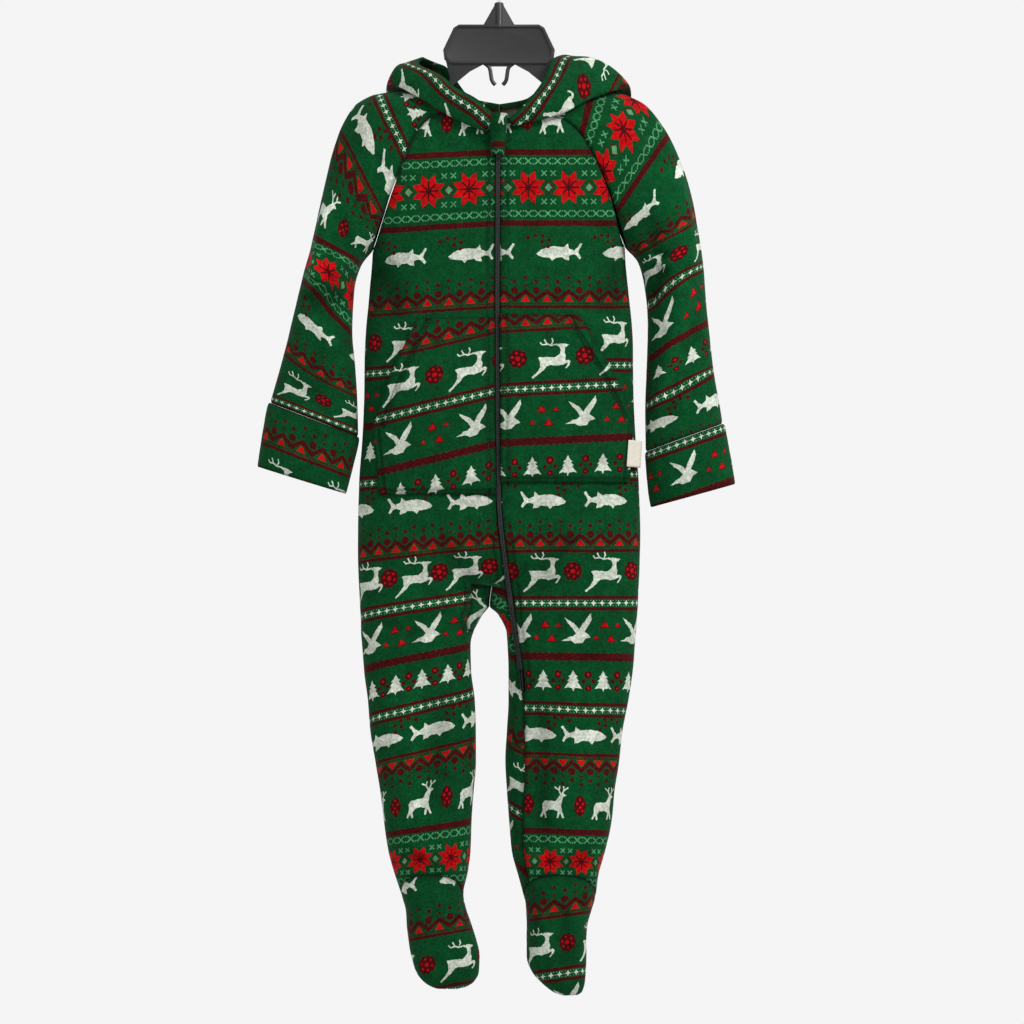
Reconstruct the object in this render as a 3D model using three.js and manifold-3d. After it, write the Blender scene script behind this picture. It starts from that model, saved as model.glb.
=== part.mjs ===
// A toddler's hooded fleece one-piece with feet, zipped down the front and on to the left leg,
// hanging on a plastic hanger with a wire hook. It is built from the pieces that a maker cuts:
// two fronts, two backs, a crotch gusset in two parts, raglan sleeves with cuffs, a two-part
// hood lying back, a split pouch pocket, and a vamp and a sole for each foot.
// Millimetres, +Z up, the front faces -Y and the wearer's left is +X.
// The origin is where the hook rests on its rail.
import * as THREE from "three";
import { mergeVertices } from "three/addons/utils/BufferGeometryUtils.js";
import Module from "manifold-3d";

const wasm = await Module();
wasm.setup();

// Driving sizes
const FLEECE = 2.2; // wall of one layer of cloth
const SEAM = 0.3; // gap between two sewn pieces
const BODY_SQUARE = 2.4; // exponent of the body's rounded sections, 2 is an ellipse
const CROTCH_X = -9;
const CROTCH_Z = -632;
const LEG_SPLIT_START = -566; // above this the body is one tube
const LEG_SPLIT_SHARPNESS = 2.2;
const UNDERARM_ROW = 8; // row of the sleeve tables where the sleeve becomes a tube
const NECK_FRONT_Z = -178;
const NECK_BACK_Z = -163;
const ZIP_END_Z = -712;
const ZIP_HALF_SLOT = 2.3; // from the zip's middle to the edge of a front
const ZIP_CHAIN = { width: 4, thickness: 1.5, top: -181 };
const GUSSET_TOP_Z = -613;
const GUSSET_RIGHT_END_Z = -656;
const VAMP_TOP_Z = -884; // middle of the seam over the instep
const SOLE_TOP_Z = -912; // seam round the heel, which the seam over the instep meets

const RIGHT = -1; // the wearer's right, the photograph's left
const LEFT = 1;

// Turns short rows of numbers into rows with named columns.
function table(names, rows) {
  const keys = names.split(" ");
  return rows.map((row) =>
    Object.fromEntries(keys.map((key, i) => [key, row[i]])),
  );
}

// Body sections: half width from the middle line, and how far the front and back stand out.
// Above the armpit the half width is that of the rounded form that runs on into the sleeves.
const TORSO = table("z half front back", [
  [-130, 151, 35, 31],
  [-178, 146, 38, 34],
  [-210, 138, 39, 35],
  [-250, 128, 40, 36],
  [-292, 120, 41, 37],
  [-330, 123, 42, 38],
  [-380, 127, 43, 39],
  [-430, 128, 43, 40],
  [-475, 130, 43, 41],
  [-515, 133, 42, 42],
  [-560, 134, 41, 43],
  [-600, 133.5, 39, 43],
  [-632, 132, 36, 40],
]);

// Leg and foot sections: inner and outer side, and the y of the front, the side seams and the back.
const RIGHT_LEG = table("z inner outer front edge back", [
  [-560, -9, -134, -41, 0, 43],
  [-632, -9, -132, -36, 0, 40],
  [-638, -14, -131.5, -35, 0, 38],
  [-646, -19, -131, -34, 0, 37],
  [-656, -24, -131, -33, 0, 36],
  [-668, -27, -130, -33, 0, 35],
  [-693, -26.5, -128, -32, 0, 34],
  [-721, -23, -124.5, -31, 0, 33],
  [-750, -22, -122, -30, 0, 33],
  [-778, -22, -117.5, -30, 0, 32],
  [-807, -24, -113, -29, 0, 32],
  [-835, -26, -109.5, -28, 1, 33],
  [-864, -27, -105, -28, 2, 37],
  [-887, -30, -99, -28, 4, 42],
  [-906, -34, -93, -29, 5, 44],
  [-921, -31, -88.5, -31, 3, 40],
  [-935, -26, -87.5, -33, 0, 32],
  [-949, -21, -85.5, -34, -5, 23],
  [-963, -18, -82.5, -34, -10, 13],
  [-976, -18.5, -78, -33, -14, 3],
  [-985, -23, -71, -29, -16, -5],
  [-990, -31, -63, -25, -17, -10],
  [-992.5, -40, -56, -19.9, -17.4, -14.9],
]);
const LEFT_LEG = table("z inner outer front edge back", [
  [-560, -9, 134, -41, 0, 43],
  [-632, -9, 132, -36, 0, 40],
  [-638, -2, 131.5, -35, 0, 38],
  [-646, 3, 131, -34, 0, 37],
  [-656, 7, 130, -33, 0, 36],
  [-668, 8, 129, -33, 0, 35],
  [-693, 9, 127, -32, 0, 34],
  [-721, 9, 123, -31, 0, 33],
  [-750, 7.5, 117.5, -30, 0, 33],
  [-778, 6, 114.5, -30, 0, 32],
  [-807, 7.5, 110, -29, 0, 32],
  [-835, 9.5, 107, -28, 1, 33],
  [-864, 12, 101, -28, 2, 38],
  [-887, 18, 95, -28, 5, 44],
  [-906, 23, 92.5, -29, 7, 46],
  [-921, 26, 88, -31, 5, 41],
  [-935, 26.5, 84, -33, 1, 33],
  [-949, 26, 83, -34, -4, 24],
  [-963, 26, 83, -33, -8, 15],
  [-976, 31, 82.5, -31, -11, 7],
  [-987, 41, 81.5, -28, -13, -1],
  [-995, 51, 79, -23, -13.5, -7],
  [-999.5, 61, 73.5, -16, -13.5, -11],
]);

// Line of the zip on the front, and of the seam that carries on from it down the left leg.
const ZIP_LINE = table("z x", [
  [-160, -0.5],
  [-370, -1.4],
  [-531, 0],
  [-588, 5.7],
  [-645, 13.3],
  [-712, 22],
  [-778, 24],
  [-835, 21.5],
  [-884, 24],
  [-915, 32],
]);

// Width of the crotch gusset on the right leg's inner thigh.
const GUSSET_RIGHT = table("z width", [
  [GUSSET_TOP_Z, 18],
  [-632, 16],
  [-645, 11],
  [GUSSET_RIGHT_END_Z, 4],
]);

// Sleeve rows from the neck to the underarm. top is the ridge over the shoulder and down the arm,
// front and back are where the raglan seams cross the row, and turn is how far round from the
// ridge those seams lie, in degrees.
const RIGHT_RAGLAN = table("topX topZ frontX frontZ backX backZ turn", [
  [-58, -141, -42, -169, -42, -156, 90],
  [-85, -143, -62, -173, -60, -164, 92],
  [-112, -145, -76, -186, -77, -180, 95],
  [-134, -154, -86, -205, -88, -199, 100],
  [-150, -178, -94, -224, -97, -218, 108],
  [-160, -208, -102, -245, -104, -238, 118],
  [-168, -242, -109, -264, -110, -260, 132],
  [-174, -270, -115, -281, -115, -279, 152],
  [-179, -294, -120, -294, -120, -294, 180],
]);
const LEFT_RAGLAN = table("topX topZ frontX frontZ backX backZ turn", [
  [58, -141, 40, -169, 42, -156, 90],
  [85, -143, 60, -175, 60, -164, 92],
  [112, -145, 77, -189, 77, -180, 95],
  [136, -154, 88, -207, 88, -199, 100],
  [156, -177, 97, -225, 97, -218, 108],
  [171, -206, 104, -242, 104, -238, 118],
  [182, -238, 110, -261, 110, -260, 132],
  [188, -268, 115, -279, 115, -279, 152],
  [192, -292, 120, -292, 120, -292, 180],
]);

// Sleeve rings from the underarm to the cuff: outer and inner side, middle and half depth.
const RIGHT_ARM = table("outerX outerZ innerX innerZ middle front back", [
  [-179, -294, -120, -294, 0, 34, 33],
  [-184, -312, -131, -309, -2, 34, 31],
  [-189, -332, -137, -331, -4, 29, 30],
  [-197, -365, -139, -370, -5, 27, 29],
  [-205, -397, -136, -406, -5, 28, 28],
  [-212, -422, -134, -441, -6, 28, 27],
  [-217, -439, -133, -471, -6, 28, 26],
]);
const RIGHT_CUFF = table("outerX outerZ innerX innerZ middle front back", [
  [-218.8, -438.75, -131.7, -471.9, -6, 29, 27],
  [-224, -468, -138, -499, -6, 29, 27],
  [-229, -499.5, -144.4, -525.4, -6, 28, 26],
]);
const LEFT_ARM = table("outerX outerZ innerX innerZ middle front back", [
  [192, -292, 120, -292, 0, 34, 33],
  [193.5, -310, 132, -306, -2, 33, 31],
  [195, -330, 138, -328, -4, 30, 30],
  [198, -364, 141, -366, -5, 28, 29],
  [202.5, -402, 139.5, -410, -5, 28, 28],
  [208, -436, 138, -452, -6, 28, 27],
  [212, -459, 139, -485, -6, 28, 26],
]);
const LEFT_CUFF = table("outerX outerZ innerX innerZ middle front back", [
  [213.8, -458.8, 138.3, -485.7, -6, 29, 27],
  [219, -488, 140.5, -513, -6, 29, 27],
  [223.3, -516, 143.5, -538, -6, 28, 26],
]);

// Hood stations round the neck seam, from the zip to the back's middle. The cloth lies on the
// garment from the seam as far as a row of the raglan tables, goes on to a soft fold, and turns
// back from there to the free rim of the hood's opening. puff rounds the turned-back layer.
const RIGHT_HOOD = table("row foldX foldY foldZ rimX rimY rimZ puffX puffY puffZ", [
  [0.45, -12, -44, -189, -4, -45, -172, 0, -3, 0],
  [0.3, -29, -44, -182, -20, -45, -158, 0, -4, 1],
  [0.3, -51, -43, -171, -40, -41, -146, -1, -5, 4],
  [0.75, -79, -33, -152, -54, -32, -133, -4, -4, 7],
  [1.4, -104, -4, -137, -76, -8, -117, -8, -2, 6],
  [1.7, -109, 27, -143, -72, 16, -107, -7, 6, 4],
  [2.2, -102, 60, -212, -54, 46, -109, -6, 8, 0],
  [2.6, -64, 70, -298, -27, 62, -138, -3, 8, 0],
  [2.8, 0, 72, -338, 0, 66, -143.5, 0, 8, 0],
]);
const LEFT_HOOD = table("row foldX foldY foldZ rimX rimY rimZ puffX puffY puffZ", [
  [0.2, 12, -43, -183, 9, -44, -176, 0, -2, 0],
  [0.25, 32, -43, -179, 20, -44, -166, 0, -3, 1],
  [0.45, 59, -42, -171, 29, -42, -156, 2, -5, 4],
  [0.9, 88, -33, -155, 41, -33, -138, 6, -5, 7],
  [1.8, 124, -5, -140, 52, -12, -113, 10, -2, 10],
  [2.1, 127, 27, -150, 64, 14, -106, 9, 6, 7],
  [2.4, 108, 60, -215, 52, 46, -115, 6, 8, 0],
  [2.6, 66, 70, -298, 26, 62, -139, 3, 8, 0],
  [2.8, 0, 72, -338, 0, 66, -143.5, 0, 8, 0],
]);

// Pocket outline: for each height, how far the outer edge is from the zip.
const POCKET_RIGHT = table("z width", [
  [-361, 74],
  [-464, 116],
  [-526, 112],
]);
const POCKET_LEFT = table("z width", [
  [-358, 76],
  [-455, 126],
  [-515, 122],
]);
const POCKET_GAPE = 8.5; // how far the open slanted edge stands off the front
const POCKET_LIFT = 4.2; // fullness of the pocket between its stitched edges
const POCKET_REST = 1; // gap between the pocket's back and the front

// Soft troughs and ridges of the cloth, as lines seen from the front: width and height in mm,
// and the pieces that they are on.
const FOLDS = table("on x0 z0 x1 z1 width height", [
  ["front", -118, -300, -92, -372, 15, -4],
  ["front", 118, -300, 96, -366, 14, -4],
  ["front", -58, -566, -20, -622, 10, -3],
  ["front", 70, -560, 30, -628, 11, -3.5],
  ["front", -92, -690, -78, -850, 15, 3.5],
  ["front", -52, -700, -62, -842, 12, -3],
  ["front", 38, -706, 42, -872, 8, -4],
  ["front", 84, -680, 72, -850, 15, 3.5],
  ["front", -92, -862, -48, -884, 7, -3],
  ["front", 88, -862, 52, -880, 7, -3],
  ["front", 60, -905, 66, -975, 7, -4],
  ["back", -40, -420, -30, -560, 16, -3],
  ["back", 45, -410, 36, -560, 16, -3],
  ["back", -92, -680, -70, -850, 14, 3],
  ["back", 84, -680, 66, -850, 14, 3],
]);

// Folds of the sleeves: along the arm from 0 at the neck to 1 at the cuff seam, and round it in
// degrees from the outer ridge, forward is positive.
const SLEEVE_FOLDS = table("on at0 turn0 at1 turn1 width height", [
  [RIGHT, 0.3, 42, 0.72, 78, 11, 5],
  [RIGHT, 0.5, 128, 0.63, 62, 12, 6],
  [RIGHT, 0.67, 40, 0.66, 150, 12, -6],
  [RIGHT, 0.74, 90, 0.98, 95, 12, -3],
  [LEFT, 0.25, 40, 0.6, 62, 10, 5],
  [LEFT, 0.6, 62, 0.92, 140, 9, 5],
  [LEFT, 0.34, 92, 0.56, 120, 11, -5],
  [LEFT, 0.56, 100, 0.7, 160, 10, -5],
  [RIGHT, 0.45, -60, 0.8, -110, 12, -4],
  [LEFT, 0.45, -60, 0.8, -110, 12, -4],
]);

// Mathematics shared by the pieces
const mix = (a, b, t) => a + (b - a) * t;
const clamp = (v, low, high) => Math.min(high, Math.max(low, v));
const smooth = (t) => t * t * (3 - 2 * t);
const radians = (degrees) => (degrees * Math.PI) / 180;
const vector = (p) => new THREE.Vector3(...p);
const mixPoint = (p, q, t) => p.map((v, i) => mix(v, q[i], t));

// Value of a column at a place between rows, on a curve that never overshoots the rows.
function curve(rows, key, at, by = null) {
  const place = (i) => (by === null ? i : rows[i][by]);
  const falling = place(rows.length - 1) < place(0);
  const position = falling ? -at : at;
  const where = (i) => (falling ? -place(i) : place(i));
  let i = 0;
  while (i < rows.length - 2 && position > where(i + 1)) i++;
  const t = clamp((position - where(i)) / (where(i + 1) - where(i)), 0, 1);
  const slope = (j) =>
    (rows[j + 1][key] - rows[j][key]) / (where(j + 1) - where(j));
  const tangent = (j) => {
    if (j === 0) return slope(0);
    if (j === rows.length - 1) return slope(j - 1);
    const before = slope(j - 1);
    const after = slope(j);
    return before * after <= 0 ? 0 : (2 * before * after) / (before + after);
  };
  const span = where(i + 1) - where(i);
  const t2 = t * t;
  const t3 = t2 * t;
  return (
    rows[i][key] * (2 * t3 - 3 * t2 + 1) +
    tangent(i) * span * (t3 - 2 * t2 + t) +
    rows[i + 1][key] * (3 * t2 - 2 * t3) +
    tangent(i + 1) * span * (t3 - t2)
  );
}

// Distance from a point to a line segment, and how near it is to the segment's ends.
function segmentWeight(px, py, x0, y0, x1, y1, width) {
  const dx = x1 - x0;
  const dy = y1 - y0;
  const length2 = dx * dx + dy * dy;
  const t = ((px - x0) * dx + (py - y0) * dy) / length2;
  const near = clamp(t, 0, 1);
  const away = Math.hypot(px - x0 - dx * near, py - y0 - dy * near);
  const ends = smooth(clamp(Math.min(near, 1 - near) * 4, 0, 1));
  return Math.exp(-((away / width) ** 2)) * ends;
}

// Body and leg surface. u runs from the middle line, or the inseam, to the side seam.
const power = (v) => Math.sign(v) * Math.abs(v) ** (2 / BODY_SQUARE);
const legOf = (side) => (side === LEFT ? LEFT_LEG : RIGHT_LEG);
const faceSign = (face) => (face === "front" ? -1 : 1);

function splitWeight(z) {
  const t = clamp((LEG_SPLIT_START - z) / (LEG_SPLIT_START - CROTCH_Z), 0, 1);
  return t ** LEG_SPLIT_SHARPNESS;
}

function torsoPoint(side, face, u, z) {
  const angle = (u * Math.PI) / 2;
  const middle = CROTCH_X * splitWeight(z);
  return [
    middle +
      (side * curve(TORSO, "half", z, "z") - middle) * power(Math.sin(angle)),
    faceSign(face) * curve(TORSO, face, z, "z") * power(Math.cos(angle)),
    z,
  ];
}

function legPoint(side, face, u, z) {
  const rows = legOf(side);
  const angle = (u - 0.5) * Math.PI;
  const inner = curve(rows, "inner", z, "z");
  const outer = curve(rows, "outer", z, "z");
  const edge = curve(rows, "edge", z, "z");
  const reach = curve(rows, face, z, "z") - edge;
  return [
    mix(inner, outer, (1 + power(Math.sin(angle))) / 2),
    edge + reach * power(Math.cos(angle)),
    z,
  ];
}

function bodyBase(side, face, u, z) {
  const w = splitWeight(z);
  if (w === 0) return torsoPoint(side, face, u, z);
  if (w === 1) return legPoint(side, face, u, z);
  return mixPoint(
    torsoPoint(side, face, u, z),
    legPoint(side, face, u, z),
    w,
  );
}

// Outward normal of a surface function of two parameters.
function normalOf(surface, u, v, du, dv) {
  const alongU = vector(surface(u + du, v)).sub(vector(surface(u - du, v)));
  const alongV = vector(surface(u, v + dv)).sub(vector(surface(u, v - dv)));
  return alongU.cross(alongV).normalize();
}

function bodyNormal(side, face, u, z) {
  const inside = clamp(u, 0.012, 0.988);
  const base = (a, b) => bodyBase(side, face, a, b);
  const normal = normalOf(base, inside, z, 0.01, 0.5);
  return normal.multiplyScalar(face === "front" ? side : -side);
}

function foldHeight(face, x, z) {
  return FOLDS.filter((f) => f.on === face).reduce(
    (sum, f) =>
      sum +
      f.height * segmentWeight(x, z, f.x0, f.z0, f.x1, f.z1, f.width),
    0,
  );
}

// The cloth's outer surface on the body, with its folds; lift moves a point out from it.
function bodyPoint(side, face, u, z, lift = 0) {
  const base = bodyBase(side, face, u, z);
  const fade = smooth(clamp(Math.min(u, 1 - u) * 8, 0, 1));
  const height = foldHeight(face, base[0], z) * fade + lift;
  const normal = bodyNormal(side, face, u, z);
  return [
    base[0] + normal.x * height,
    base[1] + normal.y * height,
    base[2] + normal.z * height,
  ];
}

// The u at which the body surface has a given x, found by halving.
function uAtX(side, face, x, z) {
  let low = 0;
  let high = 1;
  for (let i = 0; i < 26; i++) {
    const middle = (low + high) / 2;
    if (side * (bodyBase(side, face, middle, z)[0] - x) < 0) low = middle;
    else high = middle;
  }
  return (low + high) / 2;
}

// Yoke: the body above the armpit, where each row ends at the raglan seam. k counts sleeve rows.
const raglanOf = (side) => (side === LEFT ? LEFT_RAGLAN : RIGHT_RAGLAN);

function yokePoint(side, face, u, k) {
  const rows = raglanOf(side);
  const seamX = curve(rows, face + "X", k);
  const seamZ = curve(rows, face + "Z", k);
  const neckZ = face === "front" ? NECK_FRONT_Z : NECK_BACK_Z;
  const middleZ = mix(neckZ, rows[UNDERARM_ROW][face + "Z"], k / UNDERARM_ROW);
  const across = power(Math.sin((u * Math.PI) / 2));
  const z = mix(middleZ, seamZ, across ** 1.5);
  const x = seamX * across;
  const share = Math.min(1, Math.abs(x) / curve(TORSO, "half", z, "z"));
  const depth = (1 - share ** BODY_SQUARE) ** (1 / BODY_SQUARE);
  return [x, faceSign(face) * curve(TORSO, face, z, "z") * depth, z];
}

function yokeNormal(side, face, u, k) {
  const base = (a, b) => yokePoint(side, face, a, b);
  const normal = normalOf(base, clamp(u, 0.02, 0.98), clamp(k, 0.05, 7.95), 0.015, 0.05);
  return normal.multiplyScalar(face === "front" ? -side : side);
}

// Direction of the cloth's thickness along a raglan seam, shared by both pieces that it joins.
function raglanNormal(side, face, k) {
  const down = new THREE.Vector3(side * 0.25, 0, -1).normalize();
  const turn = smooth(clamp((k - 3) / (UNDERARM_ROW - 3), 0, 1));
  return yokeNormal(side, face, 0.98, k).lerp(down, turn).normalize();
}

// Sleeve surface. at is 0 at the neck, 1 at the cuff seam; turn is in degrees from the ridge.
const UNDERARM_AT = 0.45;
const armOf = (side) => (side === LEFT ? LEFT_ARM : RIGHT_ARM);

function shoulderPoint(side, k, share) {
  const rows = raglanOf(side);
  const face = share >= 0 ? "front" : "back";
  const seamX = curve(rows, face + "X", k);
  const seamZ = curve(rows, face + "Z", k);
  const topX = curve(rows, "topX", k);
  const topZ = curve(rows, "topZ", k);
  const seamTurn = radians(curve(rows, "turn", k));
  const angle = seamTurn * Math.abs(share);
  const reach = (1 - Math.cos(angle)) / (1 - Math.cos(seamTurn));
  const seamY = yokePoint(side, face, 1, k)[1];
  const ring = armOf(side)[0][face] * faceSign(face);
  const closed = smooth(clamp((k - 5) / (UNDERARM_ROW - 5), 0, 1));
  const depth = mix(seamY / Math.max(Math.sin(seamTurn), 0.35), ring, closed);
  const bulge = depth * Math.sin(angle);
  const correction = (seamY - depth * Math.sin(seamTurn)) * Math.abs(share) ** 3;
  return [
    mix(topX, seamX, reach),
    bulge + correction,
    mix(topZ, seamZ, reach),
  ];
}

function ringPoint(rows, at, turn) {
  const row = at * (rows.length - 1);
  const value = (key) => curve(rows, key, row);
  const angle = radians(turn);
  const depth = Math.sin(angle) >= 0 ? -value("front") : -value("back");
  const share = (1 - Math.cos(angle)) / 2;
  return [
    mix(value("outerX"), value("innerX"), share),
    value("middle") + depth * Math.sin(angle),
    mix(value("outerZ"), value("innerZ"), share),
  ];
}

// share runs from 1 at the front edge of the cut sleeve to -1 at its back edge.
function sleeveBase(side, at, share) {
  return at < UNDERARM_AT
    ? shoulderPoint(side, (at / UNDERARM_AT) * UNDERARM_ROW, share)
    : ringPoint(
        armOf(side),
        (at - UNDERARM_AT) / (1 - UNDERARM_AT),
        share * 180,
      );
}

function seamTurnAt(side, at) {
  return at < UNDERARM_AT
    ? curve(raglanOf(side), "turn", (at / UNDERARM_AT) * UNDERARM_ROW)
    : 180;
}

function sleeveNormal(side, at, share) {
  const base = (a, b) => sleeveBase(side, a, b);
  const step = 0.01;
  const insideAt = clamp(at, step, 1 - step);
  const insideShare = clamp(share, -0.985, 0.985);
  return normalOf(base, insideAt, insideShare, step, 0.015).multiplyScalar(-side);
}

function sleevePoint(side, at, share) {
  const base = sleeveBase(side, at, share);
  const turn = share * seamTurnAt(side, at);
  const girth = 0.62; // millimetres of cloth for each degree round the arm
  const length = 420; // millimetres of cloth from the neck to the cuff
  const height = SLEEVE_FOLDS.filter((f) => f.on === side).reduce(
    (sum, f) =>
      sum +
      f.height *
        segmentWeight(
          at * length,
          turn * girth,
          f.at0 * length,
          f.turn0 * girth,
          f.at1 * length,
          f.turn1 * girth,
          f.width,
        ),
    0,
  );
  const edge = smooth(clamp((1 - Math.abs(share)) * 6, 0, 1));
  const normal = sleeveNormal(side, at, share);
  return vector(base)
    .addScaledVector(normal, height * edge)
    .toArray();
}

// Garment's outer surface round the neck, in rows from the neck seam out. A station is 0 at the
// zip, 2 and 6 on the raglan seams, 4 on the shoulder's ridge and 8 at the back's middle.
const HOOD_STATIONS = 8;

function collarPoint(side, station, k) {
  if (station <= 2) return yokePoint(side, "front", station / 2, k);
  if (station >= 6) return yokePoint(side, "back", (HOOD_STATIONS - station) / 2, k);
  return shoulderPoint(side, k, (4 - station) / 2);
}

function collarNormal(side, station, k) {
  const base = (a, b) => collarPoint(side, a, b);
  const inside = clamp(station, 0.2, HOOD_STATIONS - 0.2);
  const normal = normalOf(base, inside, Math.max(k, 0.1), 0.1, 0.08);
  return normal.multiplyScalar(-side);
}

// Hood surface: t runs from the neck seam to the rim.
const hoodOf = (side) => (side === LEFT ? LEFT_HOOD : RIGHT_HOOD);
const HOOD_REST = 1.3; // gap between the hood and the garment under it

function hoodPoint(side, station, t) {
  const rows = hoodOf(side);
  const value = (key) => curve(rows, key, station);
  const onGarment = (k, lift) =>
    vector(collarPoint(side, station, k)).addScaledVector(
      collarNormal(side, station, k),
      lift,
    );
  const row = value("row");
  const fold = vector(["foldX", "foldY", "foldZ"].map(value));
  const rim = vector(["rimX", "rimY", "rimZ"].map(value));
  const puff = vector(["puffX", "puffY", "puffZ"].map(value));
  const start = onGarment(0, HOOD_REST);
  const least = ZIP_HALF_SLOT + 1;
  start.x = side * Math.max(side * start.x, station < 1 ? least : 0);
  const under = onGarment(row, HOOD_REST + 0.5);
  under.x = side * Math.max(side * under.x, station < 1 ? least + 3 : 0);
  const line = new THREE.CatmullRomCurve3(
    [
      start,
      onGarment(row / 2, HOOD_REST).setX(mix(start.x, under.x, 0.5)),
      under,
      under.clone().lerp(fold, 0.6).addScaledVector(collarNormal(side, station, row), -0.3),
      fold,
      fold.clone().lerp(rim, 0.2).addScaledVector(puff, 0.6),
      fold.clone().lerp(rim, 0.6).add(puff),
      rim,
    ],
    false,
    "centripetal",
  );
  return line.getPoint(t).toArray();
}

// Builds a closed wall from a grid of outer points and the direction of its thickness.
function wall(rows, columns, outerPoint, thicknessAt, thickness = FLEECE) {
  const outer = [];
  const inner = [];
  for (let j = 0; j <= rows; j++)
    for (let i = 0; i <= columns; i++) {
      const p = vector(outerPoint(i / columns, j / rows));
      outer.push(p);
      inner.push(
        p.clone().addScaledVector(thicknessAt(i / columns, j / rows), -thickness),
      );
    }
  const index = (i, j) => j * (columns + 1) + i;
  const count = outer.length;
  const faces = [];
  const quad = (a, b, c, d) => faces.push([a, b, c], [a, c, d]);
  for (let j = 0; j < rows; j++)
    for (let i = 0; i < columns; i++) {
      const corners = [
        index(i, j),
        index(i + 1, j),
        index(i + 1, j + 1),
        index(i, j + 1),
      ];
      quad(...corners);
      quad(...corners.map((c) => c + count).reverse());
    }
  for (let i = 0; i < columns; i++) {
    quad(index(i, 0), index(i, 0) + count, index(i + 1, 0) + count, index(i + 1, 0));
    quad(
      index(i, rows),
      index(i + 1, rows),
      index(i + 1, rows) + count,
      index(i, rows) + count,
    );
  }
  for (let j = 0; j < rows; j++) {
    quad(index(0, j), index(0, j + 1), index(0, j + 1) + count, index(0, j) + count);
    quad(
      index(columns, j),
      index(columns, j) + count,
      index(columns, j + 1) + count,
      index(columns, j + 1),
    );
  }
  return facing([...outer, ...inner], faces);
}

// Builds a ring of cloth that is closed round its own length.
function ringWall(rows, columns, outerPoint, thicknessAt, thickness = FLEECE) {
  const points = [];
  for (let layer = 0; layer < 2; layer++)
    for (let j = 0; j <= rows; j++)
      for (let i = 0; i < columns; i++)
        points.push(
          vector(outerPoint(i / columns, j / rows)).addScaledVector(
            thicknessAt(i / columns, j / rows),
            -thickness * layer,
          ),
        );
  const index = (i, j, layer = 0) =>
    (layer * (rows + 1) + j) * columns + (i % columns);
  const faces = [];
  const quad = (a, b, c, d) => faces.push([a, b, c], [a, c, d]);
  for (let i = 0; i < columns; i++) {
    for (let j = 0; j < rows; j++) {
      quad(index(i, j), index(i + 1, j), index(i + 1, j + 1), index(i, j + 1));
      quad(
        index(i, j + 1, 1),
        index(i + 1, j + 1, 1),
        index(i + 1, j, 1),
        index(i, j, 1),
      );
    }
    quad(index(i + 1, 0), index(i, 0), index(i, 0, 1), index(i + 1, 0, 1));
    quad(
      index(i, rows),
      index(i + 1, rows),
      index(i + 1, rows, 1),
      index(i, rows, 1),
    );
  }
  return facing(points, faces);
}

// A geometry whose faces point out, whichever way its grid ran.
function facing(points, faces) {
  const volume = faces.reduce(
    (sum, [a, b, c]) =>
      sum + points[a].dot(points[b].clone().cross(points[c])) / 6,
    0,
  );
  const outward = volume > 0 ? faces : faces.map(([a, b, c]) => [a, c, b]);
  return new THREE.BufferGeometry()
    .setAttribute(
      "position",
      new THREE.Float32BufferAttribute(
        points.flatMap((p) => p.toArray()),
        3,
      ),
    )
    .setIndex(outward.flat());
}

// Materials
const cloth = new THREE.MeshStandardMaterial({ color: 0x0b5130, roughness: 0.95 });
const paleCloth = new THREE.MeshStandardMaterial({ color: 0xe8dfd2, roughness: 0.9 });
const zipBlack = new THREE.MeshStandardMaterial({ color: 0x0e1512, roughness: 0.5 });
const hangerBlack = new THREE.MeshStandardMaterial({ color: 0x1c1c20, roughness: 0.45 });
const steel = new THREE.MeshStandardMaterial({
  color: 0xc8ccd0,
  roughness: 0.25,
  metalness: 1,
});

const garment = new THREE.Group();
function addPiece(name, geometry, material = cloth) {
  const mesh = new THREE.Mesh(geometry, material);
  mesh.name = name;
  garment.add(mesh);
}

// Fronts and backs
const zipX = (z) => curve(ZIP_LINE, "x", z, "z");

function gussetWidth(z) {
  return curve(GUSSET_RIGHT, "width", z, "z");
}

// Rows of a body panel from the neck down: the first ones are yoke rows, the rest are heights.
const YOKE_ROWS = 8;

// Signed body place: below 0 on the right half and above 0 on the left half of the body.
function bodyAt(face, s, z, home) {
  const side = s === 0 ? home : Math.sign(s);
  return { side, u: Math.abs(s), point: bodyPoint(side, face, Math.abs(s), z) };
}

function signedAtX(face, x, z) {
  const middle = CROTCH_X * splitWeight(z);
  const side = x < middle ? RIGHT : LEFT;
  return side * uAtX(side, face, x, z);
}

const legEnd = (face, u) =>
  face === "front" ? mix(VAMP_TOP_Z, SOLE_TOP_Z, (2 * u - 1) ** 2) : SOLE_TOP_Z;

// Heights of the rows under the armpit, closer where the form turns faster.
const BODY_STEPS = [
  -298, -318, -340, -365, -392, -420, -448, -476, -504, -530, -554, -574, -590,
  -602, GUSSET_TOP_Z + SEAM / 2, GUSSET_TOP_Z - SEAM / 2, -621, -632.2, -640,
  GUSSET_RIGHT_END_Z + SEAM / 2, GUSSET_RIGHT_END_Z - SEAM / 2, -670, -690,
  ZIP_END_Z + 1, ZIP_END_Z - 1, -735, -760, -785, -810, -835, -858,
];
const LEG_END_ROWS = 3;
const ANKLE_Z = BODY_STEPS[BODY_STEPS.length - 1];

// Height of a row, counted from the first of the given steps, on the way down to the leg's end.
function rowHeight(steps, row, face, u) {
  if (row < steps.length) return steps[row];
  const share = (row - steps.length + 1) / LEG_END_ROWS;
  return mix(ANKLE_Z, legEnd(face, u) + SEAM / 2, share);
}

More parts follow.
